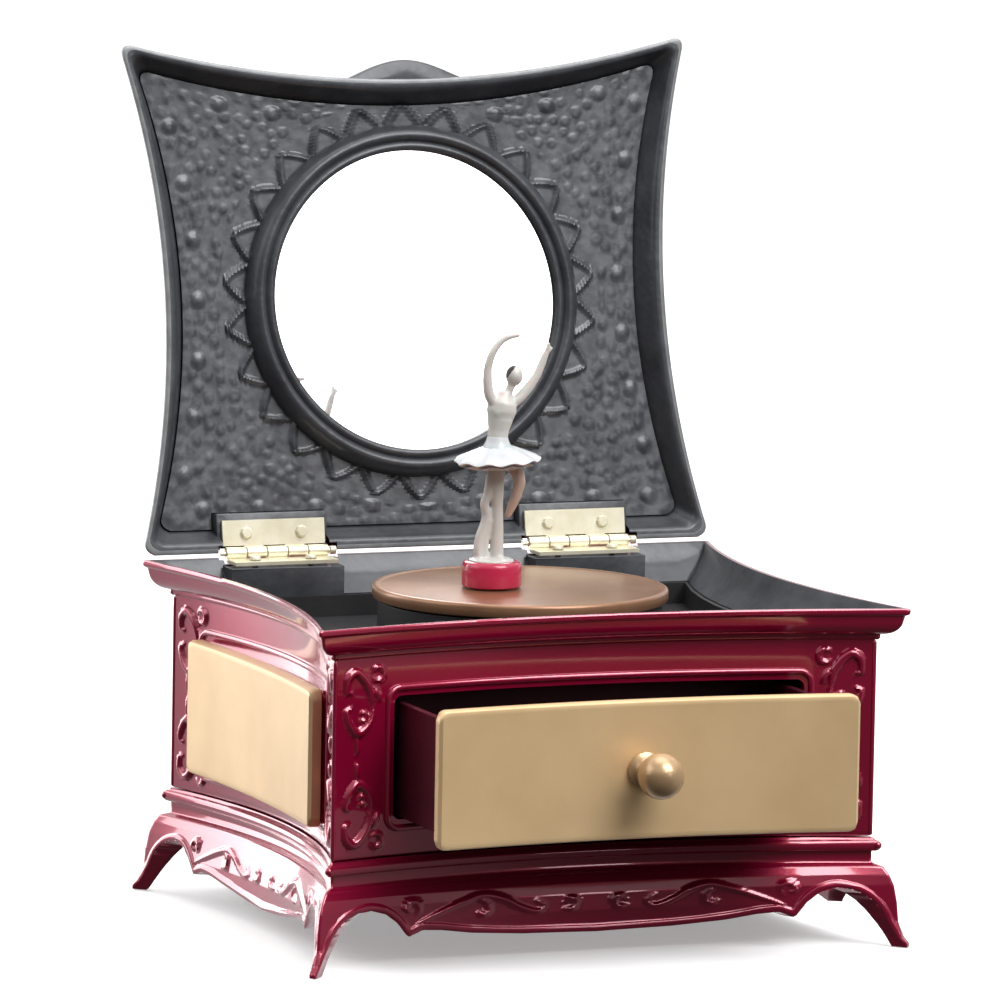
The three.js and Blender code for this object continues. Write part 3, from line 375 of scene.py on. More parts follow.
def settle(obj):
    """Applies the object's modifiers."""
    bpy.context.view_layer.update()
    depsgraph = bpy.context.evaluated_depsgraph_get()
    mesh = bpy.data.meshes.new_from_object(obj.evaluated_get(depsgraph))
    obj.modifiers.clear()
    obj.data = mesh


def carve(obj, solids, look, operation="DIFFERENCE"):
    """Takes the solids out of the object, or with INTERSECT keeps only what lies inside them."""
    cutters = [make("cut", [solid], look) for solid in solids]
    for cutter in cutters:
        dress(cutter)
        step = obj.modifiers.new("carve", "BOOLEAN")
        step.operation, step.solver, step.object = operation, "EXACT", cutter
    settle(obj)
    for cutter in cutters:
        bpy.data.objects.remove(cutter)


def bevel(obj, width, segments=2, angle=SHARP):
    step = obj.modifiers.new("bevel", "BEVEL")
    step.width, step.segments = width * MM, segments
    step.limit_method, step.angle_limit = "ANGLE", angle
    settle(obj)


def quads(rows, cols, loop_rows=False, loop_cols=False):
    r = np.arange(rows if loop_rows else rows - 1)
    c = np.arange(cols if loop_cols else cols - 1)
    r, c = (g.ravel() for g in np.meshgrid(r, c, indexing="ij"))
    up, along = (r + 1) % rows, (c + 1) % cols
    return np.stack([r * cols + c, r * cols + along, up * cols + along, up * cols + c], -1).tolist()


def rings(stack, first=None, last=None, looped=False):
    """A surface through closed rings; `first` and `last` are points that close its ends."""
    stack = np.asarray(stack, float)
    count, cols = stack.shape[:2]
    faces = quads(count, cols, looped, True)
    points = stack.reshape(-1, 3)
    for tip, row in ((first, 0), (last, count - 1)):
        if tip is None:
            continue
        points = np.vstack([points, tip])
        faces += [(row * cols + i, row * cols + (i + 1) % cols, len(points) - 1) for i in range(cols)]
    return points, faces


def lathe(profile, sides=96, at=(0, 0, 0)):
    """Turned about Z; the profile runs from axis to axis, or closes on itself."""
    turn = np.linspace(0, 2 * math.pi, sides, endpoint=False)
    on_axis = profile[0][0] == 0 and profile[-1][0] == 0
    inner = profile[1:-1] if on_axis else profile
    stack = [[(r * math.cos(a), r * math.sin(a), z) for a in turn] for r, z in inner]
    if on_axis:
        points, faces = rings(stack, (0, 0, profile[0][1]), (0, 0, profile[-1][1]))
    else:
        points, faces = rings(stack, looped=True)
    return points + np.array(at), faces


def cuboid(x0, x1, y0, y1, z0, z1):
    points = [(x, y, z) for x in (x0, x1) for y in (y0, y1) for z in (z0, z1)]
    return points, [(0, 1, 3, 2), (4, 6, 7, 5), (0, 4, 5, 1), (2, 3, 7, 6), (0, 2, 6, 4), (1, 5, 7, 3)]


def smooth_path(points, steps=10, closed=False):
    """Catmull-Rom curve through the points."""
    p = np.asarray(points, float)
    if closed:
        p = np.vstack([p[-1], p, p[0], p[1]])
    else:
        p = np.vstack([2 * p[0] - p[1], p, 2 * p[-1] - p[-2]])
    out = []
    for a, b, c, d in zip(p, p[1:], p[2:], p[3:]):
        for t in np.arange(steps) / steps:
            bend = (2 * a - 5 * b + 4 * c - d) * t**2 + (3 * b - a - 3 * c + d) * t**3
            out.append(0.5 * (2 * b + (c - a) * t + bend))
    if not closed:
        out.append(p[-2])
    return np.array(out)


def tube(path, radius, sides=12, closed=False, flat=1.0):
    """A round bar along a path; radius is a number or one for each point."""
    path = np.asarray(path, float)
    count = len(path)
    radius = np.broadcast_to(np.asarray(radius, float), (count,))
    if closed:
        along = np.roll(path, -1, 0) - np.roll(path, 1, 0)
    else:
        along = np.gradient(path, axis=0)
    along /= np.linalg.norm(along, axis=1)[:, None]
    side = np.cross(along[0], (0.31, 0.52, 0.8))
    stack = []
    for k in range(count):
        side = side - along[k] * (side @ along[k])
        side /= np.linalg.norm(side)
        other = np.cross(along[k], side)
        turn = np.linspace(0, 2 * math.pi, sides, endpoint=False)[:, None]
        stack.append(path[k] + radius[k] * (np.cos(turn) * side * flat + np.sin(turn) * other))
    if closed:
        return rings(stack, looped=True)
    caps = []
    for k, way in ((0, -1), (count - 1, 1)):
        tip = path[k] + way * along[k] * radius[k] * 0.95
        ring = stack[k] * 0.72 + path[k] * 0.28 + way * along[k] * radius[k] * 0.66
        caps.append((ring, tip))
    return rings([caps[0][0], *stack, caps[1][0]], caps[0][1], caps[1][1])


def ball(at, radii, sides=28, rows=16):
    turn = np.linspace(0, 2 * math.pi, sides, endpoint=False)
    tilt = np.linspace(0, math.pi, rows + 1)[1:-1]
    rx, ry, rz = radii if isinstance(radii, tuple) else (radii,) * 3
    stack = [
        [(rx * math.sin(t) * math.cos(a), ry * math.sin(t) * math.sin(a), -rz * math.cos(t)) for a in turn]
        for t in tilt
    ]
    points, faces = rings(stack, (0, 0, -rz), (0, 0, rz))
    return points + np.array(at), faces


# ---------- relief


def distance_to(points, path):
    """Distance from each 2-D point to a polyline, and how far along the line the nearest point is."""
    best = np.full(len(points), 1e9)
    share = np.zeros(len(points))
    lengths = np.concatenate([[0], np.cumsum(np.linalg.norm(np.diff(path, axis=0), axis=1))])
    for k, (a, b) in enumerate(zip(path, path[1:])):
        d = b - a
        t = np.clip(((points - a) @ d) / max(d @ d, 1e-9), 0, 1)
        gap = np.linalg.norm(points - a - t[:, None] * d, axis=1)
        nearer = gap < best
        best[nearer] = gap[nearer]
        share[nearer] = (lengths[k] + t[nearer] * (lengths[k + 1] - lengths[k])) / lengths[-1]
    return best, share


def stroke(points, path, width, height, taper=0.35):
    """Height of a rounded, tapering raised line."""
    low, high = path.min(0) - width, path.max(0) + width
    near = np.all((points > low) & (points < high), axis=1)
    out = np.zeros(len(points))
    if not near.any():
        return out
    gap, share = distance_to(points[near], path)
    local = width * (taper + (1 - taper) * np.sin(math.pi * np.clip(share, 0.02, 0.98)) ** 0.6)
    inside = np.clip(1 - (gap / local) ** 2, 0, 1)
    out[near] = height * (local / width) * np.sqrt(inside)
    return out


def arc(centre, r, start, end, steps=16):
    a = np.radians(np.linspace(start, end, steps))
    return np.stack([centre[0] + r * np.cos(a), centre[1] + r * np.sin(a)], -1)


def margin_motif():
    """Scrolls of one margin, in (distance from the corner, height): the upper set and its mirror."""
    head = [(4.6, 65.0), (3.5, 65.5), (3.7, 68.3), (5.7, 69.9), (7.9, 68.5), (9.8, 65.5), (10.7, 61.6)]
    tail = [(10.7, 61.6), (10.3, 58.8), (8.7, 56.6), (6.6, 55.6), (4.6, 57.6), (3.5, 60.6), (4.6, 61.6)]
    upper = [
        (smooth_path(head), 1.0),
        (smooth_path(tail), 1.0),
        (arc((8.0, 59.4), 1.0, -150, 130), 0.6),
        (arc((12.0, 69.2), 1.6, -150, 150), 0.72),
        (smooth_path([(11.0, 66.0), (12.0, 64.4), (12.6, 62.6)]), 0.75),
        (smooth_path([(6.4, 54.6), (6.6, 52.6), (6.5, 50.6)]), 0.7),
    ]
    middle = 49.6
    lower = [(np.stack([p[:, 0], 2 * middle - p[:, 1]], -1), w) for p, w in upper]
    return upper + lower


# ---------- the bow-sided outline


FRONT, RIGHT, BACK, LEFT, CORNER = 0, 1, 2, 3, 9
CORNERS = ((1, -1), (1, 1), (-1, 1), (-1, -1))


class Outline:
    """The box's plan: a bowed front, bowed sides, a straight back and tight corners, anticlockwise."""

    def __init__(self, front, side, back, ease=0.9):
        self.front, self.side, self.back, self.ease = map(np.asarray, (front, side, back, ease))
        runs = ((front, FRONT), (side, RIGHT), (back, BACK), (side, LEFT))
        self.face = np.concatenate([[mark] * len(run) + [CORNER] * 3 for run, mark in runs])

    def __call__(self, out, hx=WALL_X, hy=WALL_Y):
        x, y = hx + out, hy + out
        ex, ey = 1 - self.ease / x, 1 - self.ease / y

        def bulge(t, bow):
            return bow * (1 - t * t)

        tf, ts, tb = self.front * ex, self.side * ey, self.back * ex
        runs = [
            np.stack([tf * x, -y + bulge(tf, BOW_FRONT)], -1),
            np.stack([x - bulge(ts, BOW_SIDE), ts * y], -1),
            np.stack([-tb * x, np.full(len(tb), y)], -1),
            np.stack([-x + bulge(ts, BOW_SIDE), -ts * y], -1),
        ]
        pieces = []
        for k, (run, (sx, sy)) in enumerate(zip(runs, CORNERS)):
            pieces.append(run)
            a, b = run[-1], runs[(k + 1) % 4][0]
            tip = np.array([sx * (x - 0.4 * self.ease), sy * (y - 0.4 * self.ease)])
            pull = 2 * tip - (a + b) / 2
            bend = [(1 - t) ** 2 * a + 2 * t * (1 - t) * pull + t * t * b for t in (0.25, 0.5, 0.75)]
            pieces.append(np.array(bend))
        return np.concatenate(pieces)


def outward(loop):
    along = np.roll(loop, -1, 0) - np.roll(loop, 1, 0)
    normal = np.stack([along[:, 1], -along[:, 0]], -1)
    return normal / np.linalg.norm(normal, axis=1)[:, None]


def spaced(edge, fine, coarse):
    """Values from -1 to 1, fine outside +-edge and coarse between."""
    tail = np.linspace(edge, 1, fine)
    return np.concatenate([-tail[::-1], np.linspace(-edge, edge, coarse)[1:-1], tail])


def at_height(loop, z):
    return np.column_stack([loop, np.full(len(loop), float(z))])


# ---------- chest


def corner_distance(loop, face):
    """How far each outline point is from its face's nearer corner, along the face."""
    long_side = np.isin(face, (FRONT, BACK))
    across = np.where(long_side, WALL_X - np.abs(loop[:, 0]), WALL_Y - np.abs(loop[:, 1]))
    return np.where(face == CORNER, -9.0, across)


def make_body():
    outline = Outline(spaced(0.74, 44, 60), spaced(0.72, 40, 26), np.linspace(-1, 1, 30))
    plain = outline(0)
    normal, depth = outward(plain), corner_distance(plain, outline.face)
    motif = margin_motif()
    carved = np.isin(outline.face, (FRONT, RIGHT, LEFT))
    stack = []
    for z in np.concatenate([[BODY_BOTTOM, BODY_BOTTOM + 0.4], np.arange(27.4, 72.6, 0.42), [72.8]]):
        points = at_height(depth, z)
        height = np.zeros(len(depth))
        for path, weight in motif:
            height = np.maximum(height, stroke(points, path, 1.05 * weight, 1.05 * weight))
        height[~carved] = 0
        inset = -0.25 if z == BODY_BOTTOM else 0.0
        stack.append(at_height(plain + normal * (height + inset)[:, None], z))
    cornice = [(0.0, 73.1), (0.45, 73.3), (0.85, 73.55), (0.9, 74.0), (0.85, 74.4)]
    cornice += [(1.1 + 3.9 * math.sin(a), 78.4 - 3.9 * math.cos(a)) for a in np.linspace(0.06, 1.42, 12)]
    cornice += [(5.25, 79.2), (5.75, 79.45), (6.08, 79.7), (RIM_OUT, 80.1), (RIM_OUT, 80.7), (5.95, RIM_Z)]
    cornice += [(4.8, RIM_Z), (4.5, 80.75), (3.4, 78.6), (2.1, 76.7), (0.6, 75.2), (-1.2, 73.8), (-WALL, 72.4)]
    cornice += [(-WALL, 60.0), (-WALL, 40.0), (-WALL, BODY_BOTTOM + 0.4), (-WALL + 0.3, BODY_BOTTOM)]
    rim_row = len(stack) + cornice.index((4.8, RIM_Z))
    for out, z in cornice:
        stack.append(at_height(outline(out), z))
    body = make("body", [rings(stack, looped=True)], "burgundy_gloss")
    body.data.materials.append(MATS["graphite"])
    for face in body.data.polygons:
        if face.index >= rim_row * len(plain):
            face.material_index = 1
    mouth = rounded_rect(OPENING_X - 0.4, (OPENING_Z[1] - OPENING_Z[0]) / 2, 1.9, 8)
    middle = (OPENING_Z[0] + OPENING_Z[1]) / 2
    ends = [np.column_stack([mouth[:, 0], np.full(len(mouth), y), mouth[:, 1] + middle]) for y in (-70, -30)]
    notches = [rings(ends, (0, -70, middle), (0, -30, middle))]
    for x in HINGE_XS:
        notches.append(cuboid(x - 13.8, x + 13.8, 53.4, 72, HINGE_Z - 2.5, 90))
        notches.append(cuboid(x - 15.1, x + 15.7, 60.0, 72, HINGE_Z - 1.6, 90))
    carve(body, notches, "burgundy_gloss")
    dress(body)
    declare(body, "chest", "burgundy_gloss", "body_shell")
    seat = [(52.6, 68), (55.2, 68), (55.2, 73.8), (57, 75.4), (59.2, 78), (59.2, 79.3), (52.6, 79.3)]
    seats = []
    for x in HINGE_XS:
        ends = [[(x + s * 14.5, y, z) for y, z in seat] for s in (-1, 1)]
        seats.append(rings(ends, (x - 14.5, 55, 75), (x + 14.5, 55, 75)))
    seats = make("hinge_seats", seats, "graphite")
    bevel(seats, 0.3)
    dress(seats)
    declare(seats, "chest", "graphite")

    frame_path = rounded_rect(OPENING_X + 1.2, (OPENING_Z[1] - OPENING_Z[0]) / 2 + 2.0, 3.0, 10)
    frame_path = resample(frame_path, 1.4)
    lift = 0.12
    y = -(WALL_Y + lift) + BOW_FRONT * (1 - (frame_path[:, 0] / (WALL_X + lift)) ** 2)
    bead = tube(np.column_stack([frame_path[:, 0], y, frame_path[:, 1] + middle]), 0.85, 12, True)
    parts = [bead]
    for sx, sy in CORNERS:
        at = (sx * (WALL_X - 0.55), sy * (WALL_Y - 0.55))
        parts.append(tube([(*at, z) for z in np.linspace(26.6, 72.4, 24)], 0.62, 12))
        parts.append(ball((sx * (WALL_X - 0.1), sy * (WALL_Y - 0.1), 73.9), 0.85))
    for side in (-1, 1):
        ring = rounded_rect(PANEL_Y + 1.6, (PANEL_Z[1] - PANEL_Z[0]) / 2 + 1.6, 3.2, 10)
        ring = resample(ring, 1.6)
        x = WALL_X + 0.1 - BOW_SIDE * (1 - (ring[:, 0] / WALL_Y) ** 2)
        z = ring[:, 1] + (PANEL_Z[0] + PANEL_Z[1]) / 2
        parts.append(tube(np.column_stack([side * x, ring[:, 0], z]), 0.8, 12, True))
    for side in (-1, 1):
        x = side * (PANEL_X - PANEL_T - 0.15)
        bed = slab(PANEL_Y - 0.6, (PANEL_Z[0] + 0.6, PANEL_Z[1] - 0.6), 9.0, PANEL_SAG, 2.0, 0.2)
        points, faces = bed
        parts.append((np.column_stack([x - side * points[:, 1], points[:, 0], points[:, 2]]), faces))
    piece("body_trim", parts, "burgundy_gloss", "chest")


def rounded_rect(half_x, half_y, r, steps=6):
    points = []
    for sx, sy, start in ((1, 1, 0), (-1, 1, 90), (-1, -1, 180), (1, -1, 270)):
        for a in np.radians(start + np.linspace(0, 90, steps + 1)):
            points.append((sx * (half_x - r) + r * math.cos(a), sy * (half_y - r) + r * math.sin(a)))
    return np.array(points)


def resample(loop, pitch):
    """The closed loop with its long runs divided."""
    out = []
    for a, b in zip(loop, np.roll(loop, -1, 0)):
        count = max(1, int(np.linalg.norm(b - a) / pitch))
        out += [a + (b - a) * k / count for k in range(count)]
    return np.array(out)


# lower edge of the skirt: (distance in from the corner, height), for the front and the sides
SKIRT_OUT = 4.0
FOOT_EDGE = [(0, 0), (1.4, 0), (1.6, 1.2), (2.0, 3.2), (2.7, 5.4), (4.0, 8.4)]
FRONT_EDGE = FOOT_EDGE + [
    (5.5, 10.7), (7.7, 12.6), (10.7, 13.8), (14, 14.1), (18, 13.0), (21.3, 10.7), (23.4, 8.2), (24.3, 7.2),
    (25.2, 7.5), (28, 8.6), (33, 8.2), (41, 7.0), (54, 6.0), (72.6, 5.5),
]
SIDE_EDGE = FOOT_EDGE + [
    (5.4, 10.7), (7.4, 12.5), (10, 13.6), (12.8, 13.9), (16.2, 12.8), (19, 10.5), (21, 8.1), (21.9, 7.1),
    (22.8, 7.4), (25.4, 8.3), (30, 8.0), (37, 6.9), (48, 5.6), (60.3, 4.9),
]


def skirt_scrolls(half):
    """Raised scrolls of one side's skirt, in (distance from the middle, height)."""
    k = half / (WALL_X + SKIRT_OUT)
    ridge = [(46, 10.2), (40, 12.4), (34.5, 14.2), (29, 15.6), (24, 14.6), (19, 12.2), (14.6, 11)]
    base = [
        ([(45.4, 12.4), (46.2, 14.9), (48.4, 15.4), (49.2, 13.8), (47.7, 13.1)], 0.8),
        (ridge + [(13.0, 12.2), (14.6, 13.6)], 0.8),
        ([(30.6, 15.2), (27.8, 13.8), (27.4, 11.7), (29.3, 11.1), (29.7, 12.5)], 0.75),
        ([(7.6, 11.2), (5.6, 11.3), (4.9, 13.0), (6.3, 13.8), (7.2, 12.7)], 0.75),
    ]
    paths = []
    for points, weight in base:
        path = smooth_path([(x * k, z) for x, z in points], 8)
        paths += [(path, weight), (path * np.array([-1, 1]), weight)]
    return paths


def make_skirt():
    outline = Outline(spaced(0.7, 64, 130), spaced(0.64, 60, 90), spaced(0.7, 40, 40), ease=0.7)
    face = outline.face
    long_side = np.isin(face, (FRONT, BACK))
    mid = outline(SKIRT_OUT)
    reach = np.where(long_side, WALL_X + SKIRT_OUT, WALL_Y + SKIRT_OUT)
    place = np.where(long_side, mid[:, 0], mid[:, 1])
    inwards = np.where(face == CORNER, 0, reach - np.abs(place))
    low_front, low_side = (np.interp(inwards, *np.transpose(edge)) for edge in (FRONT_EDGE, SIDE_EDGE))
    low = np.where(long_side, low_front, low_side)
    flare = [(0, 7.1), (0.9, 7.1), (2.4, 6.1), (6, 5.2), (10.5, 4.9), (14.5, 4.3), (17, 3.4), (18.8, 2.3)]
    edge_front = smooth_path(FRONT_EDGE[1:], 5)
    edge_side = smooth_path(SIDE_EDGE[1:], 5)
    scrolls = {True: skirt_scrolls(WALL_X + SKIRT_OUT), False: skirt_scrolls(WALL_Y + SKIRT_OUT)}
    rows = 46
    stack, inner = [], []
    loops = {out: outline(out) for out in np.round(np.arange(-3.0, 7.4, 0.1), 1)}
    keys = np.array(sorted(loops))

    def loop_at(out):
        k = np.clip(np.searchsorted(keys, out, side="right") - 1, 0, len(keys) - 2)
        share = (out - keys[k]) / 0.1
        table = np.stack([loops[key] for key in keys])
        cols = np.arange(len(out))
        return table[k, cols] * (1 - share)[:, None] + table[k + 1, cols] * share[:, None]

    normal = outward(mid)
    for r in range(rows):
        z = low + (18.8 - low) * (r / (rows - 1))
        out = np.interp(z, *np.transpose(flare))
        height = np.zeros(len(z))
        for is_long, edge in ((True, edge_front), (False, edge_side)):
            chosen = (long_side == is_long) & (face != CORNER)
            gap, _ = distance_to(np.column_stack([inwards, z])[chosen], edge)
            border = 0.4 * np.sqrt(np.clip(1 - ((gap - 0.85) / 0.85) ** 2, 0, 1))
            spot = np.column_stack([place, z])[chosen]
            for path, weight in scrolls[is_long]:
                border = np.maximum(border, stroke(spot, path, 1.0 * weight, 0.75 * weight))
            height[chosen] = border
        fade = np.clip((18.9 - z) / 1.2, 0, 1)
        flat = np.where(face == BACK, 0.35, 1.0)
        moved = loop_at(out) + normal * (height * fade * flat)[:, None]
        stack.append(np.column_stack([moved, z]))
    top = [(1.3, 19.2), (0.45, 19.5), (0.1, 19.9), (0.1, 22.2), (0.3, 22.45)]
    top += [(0.75 + 1.05 * math.cos(a), 23.75 + 1.3 * math.sin(a)) for a in np.linspace(-1.45, 1.45, 12)]
    top += [(0.55, 25.3), (0.35, SKIRT_TOP), (-4.0, SKIRT_TOP), (-9.0, SKIRT_TOP), (-9.0, 23.5)]
    top += [(-WALL, 23.5), (-WALL, 19.5)]
    for out, z in top:
        stack.append(at_height(outline(out), z))
    inside = [(0, 4.9), (3, 3.9), (8, 2.2), (13, 0.5), (18, -2.8)]
    for r in range(10):
        z = low + (18.6 - low) * (1 - r / 9)
        stack.append(np.column_stack([loop_at(np.interp(z, *np.transpose(inside))), z]))
    walls = [rings(stack, looped=True)]
    piece("skirt", walls, "burgundy_gloss", "chest", "base_skirt", angle=math.radians(50))
    beads = [ball((sx * (WALL_X + 0.9), sy * (WALL_Y + 0.9), 23.8), 1.0) for sx, sy in CORNERS]
    piece("skirt_corner_beads", beads, "burgundy_gloss", "chest")


# ---------- gold panels and the drawer


def slab(half, z, thickness, sag, corner, fillet, cols=72, rows=30):
    """A bowed plate standing along X, its face towards -Y, with rounded corners and a filleted face."""
    u = np.sin(np.linspace(-1, 1, cols + 1) * math.pi / 2) * 0.35 + np.linspace(-1, 1, cols + 1) * 0.65
    v = np.sin(np.linspace(-1, 1, rows + 1) * math.pi / 2) * 0.6 + np.linspace(-1, 1, rows + 1) * 0.4
    middle, high = (z[0] + z[1]) / 2, (z[1] - z[0]) / 2
    x = u * half
    over = np.clip(np.abs(x) - (half - corner), 0, corner)
    reach = high - corner + np.sqrt(np.clip(corner**2 - over**2, 0, None))
    gx, gv = np.meshgrid(x, v, indexing="ij")
    gz = gv * reach[:, None]
    qx, qz = np.abs(gx) - (half - corner), np.abs(gz) - (high - corner)
    outside = np.hypot(np.clip(qx, 0, None), np.clip(qz, 0, None)) - corner
    outside += np.minimum(np.maximum(qx, qz), 0)
    inset = np.clip(-outside, 0, fillet)
    drop = fillet - np.sqrt(np.clip(fillet**2 - (fillet - inset) ** 2, 0, None))
    bow = sag * (1 - (gx / half) ** 2)
    front = np.stack([gx, bow + drop, gz + middle], -1)
    back = np.stack([gx, bow + thickness - drop * 0.4, gz + middle], -1)
    n, m = front.shape[:2]
    faces = quads(n, m) + [[f + n * m for f in reversed(q)] for q in quads(n, m)]
    rim = [(i, 0) for i in range(n)] + [(n - 1, j) for j in range(1, m)]
    rim += [(i, m - 1) for i in range(n - 2, -1, -1)] + [(0, j) for j in range(m - 2, 0, -1)]
    ids = [i * m + j for i, j in rim]
    faces += [(a, b, b + n * m, a + n * m) for a, b in zip(ids, ids[1:] + ids[:1])]
    return np.vstack([front.reshape(-1, 3), back.reshape(-1, 3)]), faces


def make_panels():
    for name, side in (("right", 1), ("left", -1)):
        points, faces = slab(PANEL_Y, PANEL_Z, PANEL_T, PANEL_SAG, 2.2, 0.8)
        points = np.column_stack([side * (PANEL_X - points[:, 1]), points[:, 0], points[:, 2]])
        piece(f"{name}_panel", [(points, faces)], "gold_satin", "chest", f"side_panel_{name}")


def make_drawer():
    points, faces = slab(FRONT_X, FRONT_Z, PANEL_T, FRONT_SAG, 2.2, 0.8, 96, 36)
    points[:, 1] += FRONT_SHUT_Y - DRAWER_OUT
    piece("drawer_face", [(points, faces)], "gold_satin", "drawer", "drawer_front")

    neck, neck_r = 4.85, 2.3
    start = math.asin(neck_r / KNOB_R)
    centre = neck + math.sqrt(KNOB_R**2 - neck_r**2)
    profile = [(0, 0.05), (4.0, 0.05), (4.35, 0.35), (4.3, 0.85), (3.6, 1.25), (2.9, 1.9), (2.55, 3.2)]
    profile.append((2.35, 5.2))
    for a in np.linspace(start, math.pi, 30):
        profile.append((max(KNOB_R * math.sin(a), 0.0), centre - KNOB_R * math.cos(a)))
    profile[-1] = (0, profile[-1][1])
    points, faces = lathe(profile, 72)
    points = np.column_stack([points[:, 0], FACE_Y - 0.25 - points[:, 2], KNOB_Z + points[:, 1]])
    piece("knob", [(points, faces)], "knob_satin", "drawer", "drawer_knob", slot="bronze_satin")


# ---------- lid


def to_row(part):
    """Moves a part from the lid's own frame, where it lies shut, to its place at rest."""
    points, faces = part
    a = -math.radians(LID_REST)
    y = points[:, 1] * math.cos(a) - points[:, 2] * math.sin(a)
    z = points[:, 1] * math.sin(a) + points[:, 2] * math.cos(a)
    return np.column_stack([points[:, 0], y + HINGE_Y, z + HINGE_Z]), faces


def lid_floor_bumps(inner):
    """Centres, radii and heights of the liner's dots: a sparse row of larger ones, then fine ones."""
    spots = []
    edge = resample(inner * np.array([0.93, 0.915]), 1.0)
    gap = 0.0
    for a, b in zip(edge, np.roll(edge, -1, 0)):
        gap += np.linalg.norm(b - a)
        if gap > 14:
            spots.append((a[0], a[1], 1.8, 0.5))
            gap = 0.0
    for _ in range(9000):
        x, y = rng.uniform(-66, 66), rng.uniform(-56, 56)
        room = rng.uniform(2.3, 3.3)
        if all((x - s[0]) ** 2 + (y - s[1]) ** 2 > (room if s[3] < 0.3 else 3.4) ** 2 for s in spots):
            spots.append((x, y, room / 2, 0.16))
    return np.array(spots)


